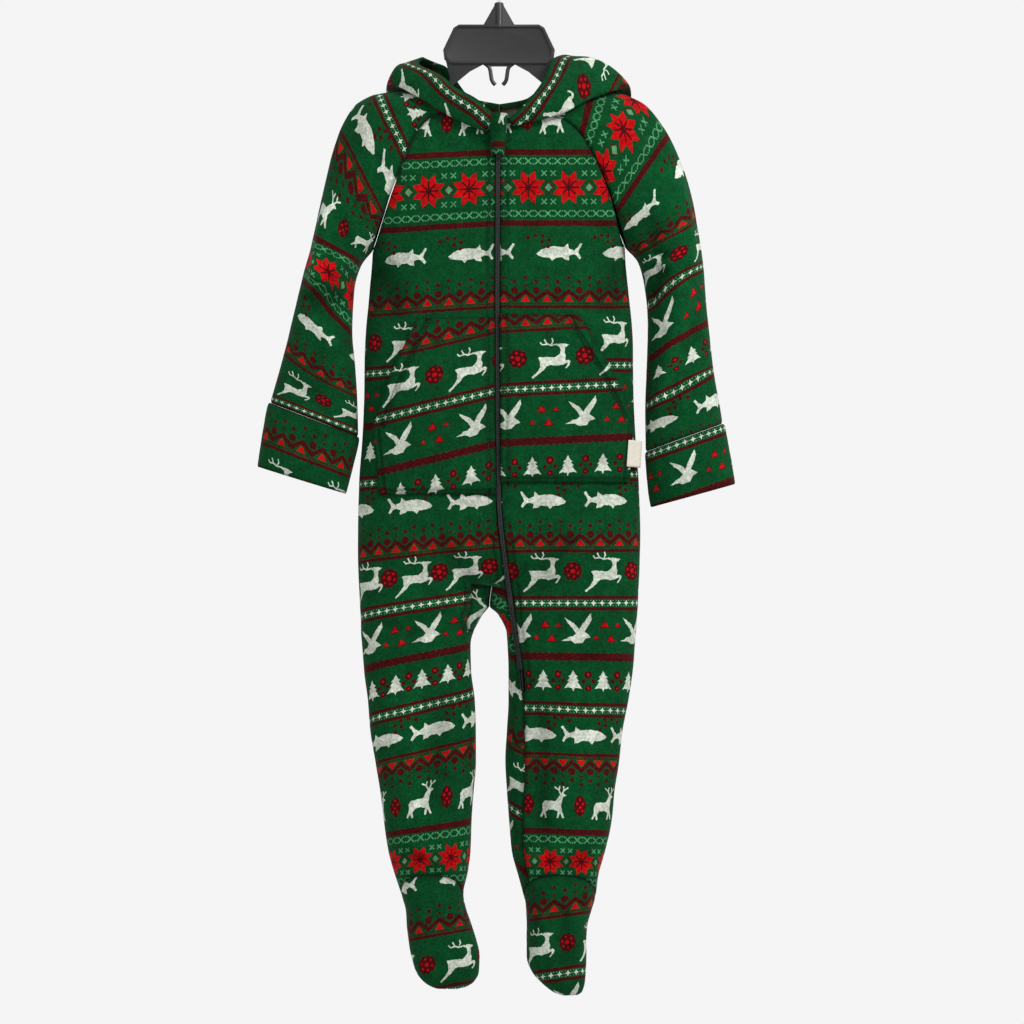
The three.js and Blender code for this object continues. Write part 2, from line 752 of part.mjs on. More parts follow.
// Inner edge of a front, as a signed place, with the slot for the zip or the seam's gap.
function frontInner(side, z) {
  const slot = z > ZIP_END_Z ? ZIP_HALF_SLOT : SEAM / 2;
  if (side === LEFT) return signedAtX("front", zipX(z) + slot, z);
  if (z > GUSSET_TOP_Z) return signedAtX("front", zipX(z) - slot, z);
  if (z > GUSSET_RIGHT_END_Z) {
    const crossing = gussetWidth(z) + SEAM;
    return signedAtX("front", bodyBase(RIGHT, "front", 0, z)[0] - crossing, z);
  }
  return 0;
}

function bodyPanel(side, face, columns) {
  const rows = YOKE_ROWS + BODY_STEPS.length + LEG_END_ROWS - 1;
  const shiftY = (faceSign(face) * SEAM) / 2;
  const place = (f, g) => {
    const row = Math.round(g * rows);
    if (row < YOKE_ROWS) {
      const k = (row / YOKE_ROWS) * UNDERARM_ROW;
      const underarmZ = raglanOf(side)[UNDERARM_ROW].frontZ;
      const middleZ = mix(NECK_FRONT_Z, underarmZ, row / YOKE_ROWS);
      const innerX = face === "front" ? zipX(middleZ) + side * ZIP_HALF_SLOT : 0;
      const seamX = curve(raglanOf(side), face + "X", k);
      const start = (2 / Math.PI) * Math.asin(
        clamp((side * innerX) / (side * seamX), 0, 1) ** (BODY_SQUARE / 2),
      );
      return { yoke: true, u: mix(start, 1, f), k };
    }
    const index = Math.min(row - YOKE_ROWS, BODY_STEPS.length - 1);
    const z = BODY_STEPS[index];
    const inner = face === "front" ? frontInner(side, z) : 0;
    const s = mix(inner, side, f);
    return { s, z: rowHeight(BODY_STEPS, row - YOKE_ROWS, face, Math.abs(s)) };
  };
  const outerPoint = (f, g) => {
    const p = place(f, g);
    if (p.yoke) {
      const q = yokePoint(side, face, p.u, p.k);
      const trim = f ** 4 - (face === "back" ? (1 - f) ** 8 : 0);
      return [q[0] - side * (SEAM / 2) * trim, q[1] + shiftY, q[2]];
    }
    const q = bodyAt(face, p.s, p.z, side).point;
    const seamSide = face === "back" ? side : 0;
    const middleTrim = seamSide * (SEAM / 2) * (1 - f) ** 8;
    const inseam = p.z < CROTCH_Z ? 0 : 1;
    return [q[0] + middleTrim * inseam, q[1] + shiftY, q[2]];
  };
  const thicknessAt = (f, g) => {
    const p = place(f, g);
    if (p.yoke && f > 0.99) return raglanNormal(side, face, p.k);
    if (p.yoke) {
      const normal = yokeNormal(side, face, p.u, p.k);
      return p.u < 0.01 ? normal.setX(0).normalize() : normal;
    }
    const where = bodyAt(face, p.s, p.z, side);
    return bodyNormal(where.side, face, where.u, p.z);
  };
  return wall(rows, columns, outerPoint, thicknessAt);
}

const FRONT_COLUMNS = 8;
const BACK_COLUMNS = 7;
addPiece("front_right", bodyPanel(RIGHT, "front", FRONT_COLUMNS));
addPiece("front_left", bodyPanel(LEFT, "front", FRONT_COLUMNS));
addPiece("back_right", bodyPanel(RIGHT, "back", BACK_COLUMNS));
addPiece("back_left", bodyPanel(LEFT, "back", BACK_COLUMNS));

// Crotch gusset: a short part on the right thigh, and a long one down the left inner leg.
function bodyStrip(side, columns, steps, endRows, edges) {
  const rows = steps.length - 1 + endRows;
  const place = (f, g) => {
    const row = Math.round(g * rows);
    const [start, end] = edges(steps[Math.min(row, steps.length - 1)]);
    const u = mix(start, end, f);
    return { u, z: rowHeight(steps, row, "front", u) };
  };
  const outerPoint = (f, g) => {
    const p = place(f, g);
    const q = bodyPoint(side, "front", p.u, p.z);
    const middle = p.z > CROTCH_Z ? side * (SEAM / 2) * (1 - f) : 0;
    return [q[0] + middle, q[1] - SEAM / 2, q[2]];
  };
  const thicknessAt = (f, g) => {
    const p = place(f, g);
    return bodyNormal(side, "front", p.u, p.z);
  };
  return wall(rows, columns, outerPoint, thicknessAt);
}

const GUSSET_COLUMNS = 3;
const gussetSteps = BODY_STEPS.filter((z) => z < GUSSET_TOP_Z);
function gussetLeftEdge(z) {
  const gap = z > ZIP_END_Z ? ZIP_HALF_SLOT : SEAM / 2;
  return uAtX(LEFT, "front", zipX(z) - gap, z);
}
addPiece(
  "gusset_right",
  bodyStrip(
    RIGHT,
    GUSSET_COLUMNS,
    gussetSteps.filter((z) => z > GUSSET_RIGHT_END_Z),
    0,
    (z) => {
      const middle = bodyBase(RIGHT, "front", 0, z)[0];
      return [0, uAtX(RIGHT, "front", middle - gussetWidth(z), z)];
    },
  ),
);
addPiece(
  "gusset_left",
  bodyStrip(LEFT, GUSSET_COLUMNS, gussetSteps, LEG_END_ROWS, (z) => [
    0,
    gussetLeftEdge(z),
  ]),
);

// Feet
const TOE_ROWS = 9;
function footPanel(side, face, places) {
  const columns = places.length - 1;
  const uOf = (f) => places[Math.round(f * columns)];
  const rows = legOf(side);
  const tip = rows[rows.length - 1].z;
  const top = (u) => legEnd(face, u) - SEAM / 2;
  const heightAt = (u, g) => mix(top(u), tip, Math.sin((g * Math.PI) / 2));
  const outerPoint = (f, g) => {
    const q = bodyPoint(side, face, uOf(f), heightAt(uOf(f), g));
    return [q[0], q[1] + (faceSign(face) * SEAM) / 2, q[2]];
  };
  const thicknessAt = (f, g) =>
    bodyNormal(side, face, uOf(f), Math.max(heightAt(uOf(f), g), tip + 1.5));
  return wall(TOE_ROWS, columns, outerPoint, thicknessAt);
}

const even = (columns) => Array.from({ length: columns + 1 }, (_, i) => i / columns);
const gussetEnd = gussetLeftEdge(ANKLE_Z);
const frontStart = frontInner(LEFT, ANKLE_Z);
const vampLeft = [
  ...even(GUSSET_COLUMNS)
    .slice(0, -1)
    .map((f) => f * gussetEnd),
  (gussetEnd + frontStart) / 2,
  ...even(FRONT_COLUMNS)
    .slice(1)
    .map((f) => mix(frontStart, 1, f)),
];

for (const [side, name] of [
  [RIGHT, "right"],
  [LEFT, "left"],
]) {
  const places = side === LEFT ? vampLeft : even(FRONT_COLUMNS);
  addPiece("vamp_" + name, footPanel(side, "front", places));
  addPiece("sole_" + name, footPanel(side, "back", even(BACK_COLUMNS)));
}

// Sleeves and cuffs
const ARM_ROWS = 13;
const SLEEVE_COLUMNS = 16;
function sleeve(side) {
  const rows = YOKE_ROWS + ARM_ROWS;
  const shareAt = (f) => mix(1, -1, f);
  // The raglan rows meet the yoke's rows, and the rows down the arm follow them.
  const atOf = (g) => {
    const row = g * rows;
    return row < YOKE_ROWS
      ? (row / YOKE_ROWS) * UNDERARM_AT
      : mix(UNDERARM_AT, 1, (row - YOKE_ROWS) / ARM_ROWS);
  };
  const outerPoint = (f, g) => {
    const share = shareAt(f);
    const q = sleevePoint(side, atOf(g), share);
    const edge = Math.abs(share) ** 12;
    const onSeam = atOf(g) < UNDERARM_AT + 0.001;
    const outward = onSeam ? side * 0.25 * edge : 0;
    const apart = onSeam ? 0 : -Math.sign(share) * (SEAM / 2) * edge;
    return [q[0] + outward, q[1] + apart, q[2]];
  };
  const thicknessAt = (f, g) => {
    const share = shareAt(f);
    const at = atOf(g);
    const atEdge = Math.abs(share) > 0.99 && at < UNDERARM_AT + 0.001;
    return atEdge
      ? raglanNormal(side, share > 0 ? "front" : "back", (at / UNDERARM_AT) * UNDERARM_ROW)
      : sleeveNormal(side, at, share);
  };
  return wall(rows, SLEEVE_COLUMNS, outerPoint, thicknessAt);
}

function cuff(side) {
  const rows = side === LEFT ? LEFT_CUFF : RIGHT_CUFF;
  const point = (f, g) => ringPoint(rows, g, f * 360);
  const thicknessAt = (f, g) =>
    normalOf(point, f, clamp(g, 0.02, 0.98), 0.01, 0.02).multiplyScalar(side);
  return ringWall(3, 18, point, thicknessAt);
}

for (const [side, name] of [
  [RIGHT, "right"],
  [LEFT, "left"],
]) {
  addPiece("sleeve_" + name, sleeve(side));
  addPiece("cuff_" + name, cuff(side));
}

// Hood
const HOOD_ROWS = 14;
const HOOD_COLUMNS = 20;
const HOOD_BACK_END = 0.999; // share of the way round at which the back's seam is reached
function hood(side) {
  const point = (f, g) => hoodPoint(side, f * HOOD_STATIONS * HOOD_BACK_END, g);
  const thicknessAt = (f, g) => {
    const normal = normalOf(
      point,
      clamp(f, 0.01, 0.985),
      clamp(g, 0.015, 0.985),
      0.008,
      0.012,
    ).multiplyScalar(side);
    return f > 0.99 ? normal.setX(0).normalize() : normal;
  };
  const outerPoint = (f, g) => {
    const q = point(f, g);
    const atBack = side * (SEAM / 2 + 0.05) * f ** 16;
    return [q[0] + atBack, q[1], q[2]];
  };
  return wall(HOOD_ROWS, HOOD_COLUMNS, outerPoint, thicknessAt);
}
addPiece("hood_right", hood(RIGHT));
addPiece("hood_left", hood(LEFT));

// Pocket halves, made from the points of the front under them, moved out
function pocketPlace(side, f, g) {
  const rows = side === LEFT ? POCKET_LEFT : POCKET_RIGHT;
  const [top, corner, bottom] = rows.map((row) => row.z);
  const z = mix(top, bottom, g);
  const slant = clamp((z - top) / (corner - top), 0, 1);
  const straight = clamp((z - corner) / (bottom - corner), 0, 1);
  const upper = mix(rows[0].width, rows[1].width, slant);
  const reach = mix(upper, rows[2].width, straight);
  const x = zipX(z) + side * mix(ZIP_HALF_SLOT, reach, f);
  const gape = Math.sin(Math.PI * slant) * f ** 3 * POCKET_GAPE;
  const full = Math.sin(Math.PI * f) * Math.sin(Math.PI * g) * POCKET_LIFT;
  return {
    z,
    s: signedAtX("front", x, z),
    lift: POCKET_REST + FLEECE + gape + full,
  };
}

function pocketPoint(side, f, g, over = 0) {
  const p = pocketPlace(side, f, g);
  const q = bodyPoint(Math.sign(p.s), "front", Math.abs(p.s), p.z, p.lift + over);
  return [q[0], q[1] - SEAM / 2, q[2]];
}

function pocket(side) {
  const thicknessAt = (f, g) => {
    const p = pocketPlace(side, f, g);
    return bodyNormal(Math.sign(p.s), "front", Math.abs(p.s), p.z);
  };
  return wall(8, 8, (f, g) => pocketPoint(side, f, g), thicknessAt);
}
addPiece("pocket_right", pocket(RIGHT));
addPiece("pocket_left", pocket(LEFT));

// Zip: chain, slider, pull and the guard over its top end
function frontY(x, z) {
  const underarmZ = LEFT_RAGLAN[UNDERARM_ROW].frontZ;
  return z > underarmZ ? yokeSurfaceY(x, z) : bodyPoint(...sideAndU(x, z), z)[1];
}
function sideAndU(x, z) {
  const s = signedAtX("front", x, z);
  return [s < 0 ? RIGHT : LEFT, "front", Math.abs(s)];
}
function yokeSurfaceY(x, z) {
  const share = Math.abs(x) / curve(TORSO, "half", z, "z");
  const depth = (1 - share ** BODY_SQUARE) ** (1 / BODY_SQUARE);
  return -curve(TORSO, "front", z, "z") * depth;
}

const CHAIN_YOKE_ROWS = 8;
const CHAIN_LIFT = 0.2; // how far the chain stands out from the cloth's outer surface
function zipChain() {
  const heights = [
    ...even(CHAIN_YOKE_ROWS).map((f) => mix(ZIP_CHAIN.top, BODY_STEPS[0] + 8, f)),
    ...BODY_STEPS.filter((z) => z > ZIP_END_Z + 1.5),
  ];
  const zAt = (g) => heights[Math.round(g * (heights.length - 1))];
  const xAt = (f, z) => zipX(z) + mix(-ZIP_CHAIN.width / 2, ZIP_CHAIN.width / 2, f);
  const normalAt = (z) => {
    const [side, face, u] = sideAndU(zipX(z), z);
    const normal = bodyNormal(side, face, u, z);
    const onYoke = z > BODY_STEPS[0];
    return onYoke ? new THREE.Vector3(0, -1, 0) : normal.setZ(0).normalize();
  };
  const outerPoint = (f, g) => {
    const z = zAt(g);
    return vector([xAt(f, z), frontY(xAt(f, z), z), z])
      .addScaledVector(normalAt(z), CHAIN_LIFT)
      .toArray();
  };
  return wall(
    heights.length - 1,
    1,
    outerPoint,
    (f, g) => normalAt(zAt(g)),
    ZIP_CHAIN.thickness,
  );
}
addPiece("zip_chain", zipChain(), zipBlack);

// A block with rounded ends, lying on the front: an outline in x and z, pushed out along -Y.
function tab(points, near, thickness) {
  const shape = new THREE.Shape(points.map(([x, z]) => new THREE.Vector2(x, z)));
  const geometry = new THREE.ExtrudeGeometry(shape, {
    depth: thickness,
    bevelEnabled: false,
    curveSegments: 4,
  });
  geometry.rotateX(Math.PI / 2);
  geometry.translate(0, near, 0);
  return geometry;
}

const SLIDER = { width: 8, top: -186, bottom: -197, thickness: 2.6 };
const PULL = { width: 5, top: -189.5, bottom: -213, thickness: 1.2, corner: 1.2 };
const chainY = frontY(0, SLIDER.bottom) - CHAIN_LIFT - 0.05;
const sliderOuter = chainY - SEAM - SLIDER.thickness;
addPiece(
  "zip_slider",
  tab(
    [
      [-SLIDER.width / 2, SLIDER.top],
      [-SLIDER.width / 2 + 1.4, SLIDER.top + 1.2],
      [SLIDER.width / 2 - 1.4, SLIDER.top + 1.2],
      [SLIDER.width / 2, SLIDER.top],
      [SLIDER.width / 2 - 1.2, SLIDER.bottom],
      [-SLIDER.width / 2 + 1.2, SLIDER.bottom],
    ],
    chainY - SEAM,
    SLIDER.thickness,
  ),
  zipBlack,
);
addPiece(
  "zip_pull",
  tab(
    [
      [-PULL.width / 2, PULL.top],
      [-PULL.width / 2, PULL.bottom + PULL.corner],
      [-PULL.width / 2 + PULL.corner, PULL.bottom],
      [PULL.width / 2 - PULL.corner, PULL.bottom],
      [PULL.width / 2, PULL.bottom + PULL.corner],
      [PULL.width / 2, PULL.top],
    ],
    sliderOuter - SEAM,
    PULL.thickness,
  ),
  zipBlack,
);

// Guard: a doubled tab of the cloth that arches over the slider and most of the pull.
const GUARD = {
  top: -173,
  bottom: -210,
  topHalf: 8.5,
  bottomHalf: 6.5,
  bottomShift: -1.2,
  rest: 2.7, // from the front to the guard's inner side at its edges
  arch: 7.5,
  overHood: 12,
  thickness: 1.6,
};
function zipGuard() {
  const xAt = (f, z) => {
    const share = clamp((GUARD.top - z) / (GUARD.top - GUARD.bottom), 0, 1);
    const half = mix(GUARD.topHalf, GUARD.bottomHalf, share);
    return GUARD.bottomShift * share + mix(-half, half, f);
  };
  const outerPoint = (f, g) => {
    const z = mix(GUARD.top, GUARD.bottom, g);
    const arch = Math.sin(Math.PI * f) ** 0.6 * GUARD.arch;
    const over = GUARD.overHood * smooth(clamp(1 - 1.5 * g, 0, 1));
    const x = xAt(f, z);
    const rest = Math.min(z, NECK_FRONT_Z);
    return [x, yokeSurfaceY(x, rest) - GUARD.rest - arch - over, z];
  };
  return wall(6, 8, outerPoint, () => new THREE.Vector3(0, -1, 0), GUARD.thickness);
}
addPiece("zip_guard", zipGuard());

// Labels: a blank one inside the back neck and a blank tab on the pocket's side
const backInner = curve(TORSO, "back", -172, "z") - FLEECE + SEAM / 2;
addPiece(
  "neck_label",
  tab(
    [
      [-17, -165.5],
      [-17, -180],
      [19, -180],
      [19, -165.5],
    ],
    backInner - 1.4,
    0.6,
  ),
  paleCloth,
);

const SIDE_TAB = { top: 0.745, bottom: 0.905, root: 0.96, thickness: 0.8, past: 8 };
function sideTab() {
  const outerPoint = (f, g) => {
    const down = mix(SIDE_TAB.top, SIDE_TAB.bottom, g);
    const over = SEAM + SIDE_TAB.thickness + 0.2;
    if (f < 0.4) return pocketPoint(LEFT, SIDE_TAB.root, down, over);
    const edge = pocketPoint(LEFT, 1, down, over);
    if (f < 0.9) return edge;
    return [edge[0] + SIDE_TAB.past, edge[1] + SIDE_TAB.past / 2, edge[2] - 1];
  };
  const inward = new THREE.Vector3(0.5, -0.87, 0);
  return wall(2, 2, outerPoint, () => inward, SIDE_TAB.thickness);
}
addPiece("side_tab", sideTab(), paleCloth);

// Hanger: body, prongs and hook
const HANGER = {
  thickness: 7,
  plate: 3.4,
  rim: 2.2,
  top: -80,
  armEndX: 116,
};
const WIRE = { radius: 1.5, hook: 19, sides: 10 };

function solidOf(geometry) {
  const plain = geometry.clone();
  plain.deleteAttribute("normal");
  plain.deleteAttribute("uv");
  const merged = mergeVertices(plain, 1e-4);
  return new wasm.Manifold(
    new wasm.Mesh({
      numProp: 3,
      vertProperties: merged.attributes.position.array,
      triVerts: new Uint32Array(merged.index.array),
    }),
  );
}

function geometryOf(solid) {
  const mesh = solid.getMesh();
  const positions = new Float32Array(mesh.numVert * 3);
  for (let i = 0; i < mesh.numVert; i++)
    positions.set(
      mesh.vertProperties.subarray(i * mesh.numProp, i * mesh.numProp + 3),
      i * 3,
    );
  return new THREE.BufferGeometry()
    .setAttribute("position", new THREE.BufferAttribute(positions, 3))
    .setIndex(new THREE.BufferAttribute(mesh.triVerts, 1));
}

// A mirrored outline: the points of the right-hand half, from the top middle round to the bottom.
const mirrored = (half) => [
  ...half,
  ...half
    .filter(([x]) => x > 0)
    .reverse()
    .map(([x, z]) => [-x, z]),
];

const ARM_REST = 1; // from the cloth over a shoulder to the hanger's arm
// Height just under the cloth along the shoulder's ridge.
function shoulderInside(x) {
  return curve(LEFT_RAGLAN.slice(0, 4), "topZ", x, "topX") - FLEECE - ARM_REST;
}

function hangerBody() {
  const armTop = [60, 73, 85, 98, 108].map((x) => [x, shoulderInside(x)]);
  const plateShape = mirrored([
    [8, HANGER.top],
    [38, HANGER.top],
    [43, HANGER.top - 3],
    [52, -104],
    [51, -112],
    [46.5, -130],
    [47.5, -139],
    ...armTop,
    [HANGER.armEndX, shoulderInside(108) - 4],
    [HANGER.armEndX + 1, -159],
    [HANGER.armEndX - 2, -166],
    [HANGER.armEndX - 8, -169],
    [84, -163],
    [62, -154],
    [45, -138],
    [28, -124],
    [14, -116.5],
    [8, -119],
  ]);
  const body = solidOf(tab(plateShape, HANGER.plate / 2, HANGER.plate));
  const frame = solidOf(
    tab(
      mirrored([
        [0.001, HANGER.top],
        [38, HANGER.top],
        [43, HANGER.top - 3],
        [53, -104],
        [52, -112],
        [46, -117],
        [0.001, -117],
      ]),
      HANGER.thickness / 2,
      HANGER.thickness,
    ),
  );
  const recess = (near) =>
    solidOf(
      tab(
        mirrored([
          [0.001, HANGER.top - HANGER.rim],
          [37.4, HANGER.top - HANGER.rim],
          [41, HANGER.top - HANGER.rim - 2.4],
          [49.6, -104],
          [49, -110],
          [44.6, -114],
          [0.001, -114],
        ]),
        near,
        HANGER.thickness,
      ),
    );
  const neck = solidOf(
    tab(
      mirrored([
        [0.001, -58.6],
        [4.2, -59.4],
        [4.6, -62],
        [14.5, HANGER.top + 0.5],
        [14.5, HANGER.top - 2],
        [0.001, HANGER.top - 2],
      ]),
      HANGER.plate / 2,
      HANGER.plate,
    ),
  );
  const socketTube = new THREE.CylinderGeometry(3.6, 3.6, 24, 12);
  socketTube.rotateX(Math.PI / 2);
  socketTube.translate(0, 0, -70.8);
  const bore = new THREE.CylinderGeometry(
    WIRE.radius + SEAM,
    WIRE.radius + SEAM,
    20,
    WIRE.sides,
  );
  bore.rotateX(Math.PI / 2);
  bore.translate(0, 0, -66);
  const prong = (side) => {
    const path = new THREE.CatmullRomCurve3(
      [
        [14, -116],
        [9.2, -120],
        [7.6, -128],
        [6.6, -133],
        [3.6, -136.6],
      ].map(([x, z]) => new THREE.Vector3(side * x, 0, z)),
    );
    const section = new THREE.Shape();
    section.absellipse(0, 0, 1.9, 1.9, 0, Math.PI * 2);
    return solidOf(
      new THREE.ExtrudeGeometry(section, {
        steps: 8,
        extrudePath: path,
        curveSegments: 4,
        bevelEnabled: false,
      }),
    );
  };
  const whole = body
    .add(frame)
    .add(neck)
    .subtract(recess(-HANGER.plate / 2))
    .subtract(recess(HANGER.thickness + HANGER.plate / 2))
    .add(solidOf(socketTube))
    .subtract(solidOf(bore))
    .add(prong(1))
    .add(prong(-1));
  return geometryOf(whole);
}
addPiece("hanger", hangerBody(), hangerBlack);

function hook() {
  const radius = WIRE.hook + WIRE.radius;
  const centre = -WIRE.hook;
  const bend = Array.from({ length: 15 }, (_, i) => {
    const angle = radians(180 - (i / 14) * 242);
    return [-radius * Math.cos(angle), centre + radius * Math.sin(angle)];
  }).reverse();
  const stem = [
    [0, -75.5],
    [0, -70],
    [0, -64.5],
    [0, -59],
    [-0.5, -52.5],
    [-3.4, -43.5],
  ];
  const line = new THREE.CatmullRomCurve3(
    [...stem, ...bend].map(([x, z]) => new THREE.Vector3(x, 0, z)),
    false,
    "centripetal",
  );
  const section = new THREE.Shape();
  section.absellipse(0, 0, WIRE.radius, WIRE.radius, 0, Math.PI * 2);
  return new THREE.ExtrudeGeometry(section, {
    steps: 44,
    extrudePath: line,
    curveSegments: WIRE.sides / 2,
    bevelEnabled: false,
  });
}
addPiece("hook", hook(), steel);

export default garment;
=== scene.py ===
"""Dresses the CAD frame of a toddler's hooded fleece one-piece on its hanger.

The cloth is laid out flat in millimetres, its print is cut into the weave as real outlines,
and each cut piece is then carried on to the form that the frame gives it.
"""

import math

import bpy
import numpy as np
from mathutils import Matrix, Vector
from mathutils.bvhtree import BVHTree
from mathutils.geometry import delaunay_2d_cdt


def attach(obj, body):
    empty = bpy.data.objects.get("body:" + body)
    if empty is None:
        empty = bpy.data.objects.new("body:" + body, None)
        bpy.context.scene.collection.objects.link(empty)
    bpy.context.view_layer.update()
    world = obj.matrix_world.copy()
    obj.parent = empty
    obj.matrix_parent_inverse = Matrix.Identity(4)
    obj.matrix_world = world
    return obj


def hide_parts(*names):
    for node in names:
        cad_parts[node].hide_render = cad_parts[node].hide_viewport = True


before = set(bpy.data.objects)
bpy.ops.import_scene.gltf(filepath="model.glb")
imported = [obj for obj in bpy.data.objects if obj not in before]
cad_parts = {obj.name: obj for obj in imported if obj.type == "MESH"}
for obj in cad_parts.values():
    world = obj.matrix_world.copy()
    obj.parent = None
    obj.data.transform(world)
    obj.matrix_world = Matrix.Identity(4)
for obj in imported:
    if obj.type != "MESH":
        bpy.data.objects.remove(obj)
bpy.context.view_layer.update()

bl_info = {
    "name": "Hooded fleece one-piece",
    "version": (1, 0, 0),
    "blender": (4, 5, 0),
    "location": "View3D > Sidebar > Pajama",
    "description": "Builds a printed fleece one-piece with its zip and hanger on a CAD frame",
    "category": "Object",
}

MM = 0.001
RIGHT, LEFT = -1, 1

# Sizes of the cloth, in millimetres
FLEECE = 2.2
SEAM = 0.3
BODY_SQUARE = 2.4
CROTCH_X, CROTCH_Z = -9, -632
LEG_SPLIT_START = -566
LEG_SPLIT_SHARPNESS = 2.2
UNDERARM_ROW = 8
UNDERARM_AT = 0.45
NECK_FRONT_Z, NECK_BACK_Z = -178, -163
ZIP_END_Z = -712
ZIP_HALF_SLOT = 2.3
GUSSET_TOP_Z = -613
GUSSET_RIGHT_END_Z = -656
VAMP_TOP_Z, SOLE_TOP_Z = -884, -912
FIRST_BODY_Z, ANKLE_Z = -298, -858
HOOD_STATIONS = 8
HOOD_REST = 1.3
# The back and the hood are drawn to the middle within this distance, which closes their seam
CENTRE_SEAM = 2
# The height at which the print's own count begins, and how far across its fixed line lies
PRINT_TOP_Z = -268
FIXED_LINE = 70
# The camera, and so the place from which the print was measured on the middle plane
CAMERA_X, CAMERA_AWAY, CAMERA_Z = 12.35, 2200, -542.5


class Rows:
    """Rows of a given table, read at any place between them without overshoot."""

    def __init__(self, names, *rows):
        columns = np.array(rows, float).T
        self.data = dict(zip(names.split(), columns))
        self.count = len(rows)

    def end(self, key):
        return self.data[key][-1]

    def at(self, key, place, by=None):
        where = np.arange(self.count, dtype=float) if by is None else self.data[by]
        place = np.asarray(place, float)
        if where[0] > where[-1]:
            where, place = -where, -place
        value = self.data[key]
        i = np.clip(np.searchsorted(where, place, side="left") - 1, 0, self.count - 2)
        span = where[i + 1] - where[i]
        t = np.clip((place - where[i]) / span, 0, 1)
        slopes = np.diff(value) / np.diff(where)
        turns = slopes[:-1] * slopes[1:]
        sums = slopes[:-1] + slopes[1:]
        inner = np.where(turns > 0, 2 * turns / np.where(sums == 0, 1, sums), 0)
        tangent = np.concatenate([slopes[:1], inner, slopes[-1:]])
        t2, t3 = t * t, t * t * t
        return (
            value[i] * (2 * t3 - 3 * t2 + 1)
            + tangent[i] * span * (t3 - 2 * t2 + t)
            + value[i + 1] * (3 * t2 - 2 * t3)
            + tangent[i + 1] * span * (t3 - t2)
        )


TORSO = Rows(
    "z half front back",
    [-130, 151, 35, 31], [-178, 146, 38, 34], [-210, 138, 39, 35], [-250, 128, 40, 36],
    [-292, 120, 41, 37], [-330, 123, 42, 38], [-380, 127, 43, 39], [-430, 128, 43, 40],
    [-475, 130, 43, 41], [-515, 133, 42, 42], [-560, 134, 41, 43], [-600, 133.5, 39, 43],
    [-632, 132, 36, 40],
)
LEGS = {
    RIGHT: Rows(
        "z inner outer front edge back",
        [-560, -9, -134, -41, 0, 43], [-632, -9, -132, -36, 0, 40], [-638, -14, -131.5, -35, 0, 38],
        [-646, -19, -131, -34, 0, 37], [-656, -24, -131, -33, 0, 36], [-668, -27, -130, -33, 0, 35],
        [-693, -26.5, -128, -32, 0, 34], [-721, -23, -124.5, -31, 0, 33], [-750, -22, -122, -30, 0, 33],
        [-778, -22, -117.5, -30, 0, 32], [-807, -24, -113, -29, 0, 32], [-835, -26, -109.5, -28, 1, 33],
        [-864, -27, -105, -28, 2, 37], [-887, -30, -99, -28, 4, 42], [-906, -34, -93, -29, 5, 44],
        [-921, -31, -88.5, -31, 3, 40], [-935, -26, -87.5, -33, 0, 32], [-949, -21, -85.5, -34, -5, 23],
        [-963, -18, -82.5, -34, -10, 13], [-976, -18.5, -78, -33, -14, 3], [-985, -23, -71, -29, -16, -5],
        [-990, -31, -63, -25, -17, -10], [-992.5, -40, -56, -19.9, -17.4, -14.9],
    ),
    LEFT: Rows(
        "z inner outer front edge back",
        [-560, -9, 134, -41, 0, 43], [-632, -9, 132, -36, 0, 40], [-638, -2, 131.5, -35, 0, 38],
        [-646, 3, 131, -34, 0, 37], [-656, 7, 130, -33, 0, 36], [-668, 8, 129, -33, 0, 35],
        [-693, 9, 127, -32, 0, 34], [-721, 9, 123, -31, 0, 33], [-750, 7.5, 117.5, -30, 0, 33],
        [-778, 6, 114.5, -30, 0, 32], [-807, 7.5, 110, -29, 0, 32], [-835, 9.5, 107, -28, 1, 33],
        [-864, 12, 101, -28, 2, 38], [-887, 18, 95, -28, 5, 44], [-906, 23, 92.5, -29, 7, 46],
        [-921, 26, 88, -31, 5, 41], [-935, 26.5, 84, -33, 1, 33], [-949, 26, 83, -34, -4, 24],
        [-963, 26, 83, -33, -8, 15], [-976, 31, 82.5, -31, -11, 7], [-987, 41, 81.5, -28, -13, -1],
        [-995, 51, 79, -23, -13.5, -7], [-999.5, 61, 73.5, -16, -13.5, -11],
    ),
}
ZIP_LINE = Rows(
    "z x",
    [-160, -0.5], [-370, -1.4], [-531, 0], [-588, 5.7], [-645, 13.3], [-712, 22], [-778, 24],
    [-835, 21.5], [-884, 24], [-915, 32],
)
GUSSET_RIGHT = Rows(
    "z width", [GUSSET_TOP_Z, 18], [-632, 16], [-645, 11], [GUSSET_RIGHT_END_Z, 4]
)
RAGLANS = {
    RIGHT: Rows(
        "topX topZ frontX frontZ backX backZ turn",
        [-58, -141, -42, -169, -42, -156, 90], [-85, -143, -62, -173, -60, -164, 92],
        [-112, -145, -76, -186, -77, -180, 95], [-134, -154, -86, -205, -88, -199, 100],
        [-150, -178, -94, -224, -97, -218, 108], [-160, -208, -102, -245, -104, -238, 118],
        [-168, -242, -109, -264, -110, -260, 132], [-174, -270, -115, -281, -115, -279, 152],
        [-179, -294, -120, -294, -120, -294, 180],
    ),
    LEFT: Rows(
        "topX topZ frontX frontZ backX backZ turn",
        [58, -141, 40, -169, 42, -156, 90], [85, -143, 60, -175, 60, -164, 92],
        [112, -145, 77, -189, 77, -180, 95], [136, -154, 88, -207, 88, -199, 100],
        [156, -177, 97, -225, 97, -218, 108], [171, -206, 104, -242, 104, -238, 118],
        [182, -238, 110, -261, 110, -260, 132], [188, -268, 115, -279, 115, -279, 152],
        [192, -292, 120, -292, 120, -292, 180],
    ),
}
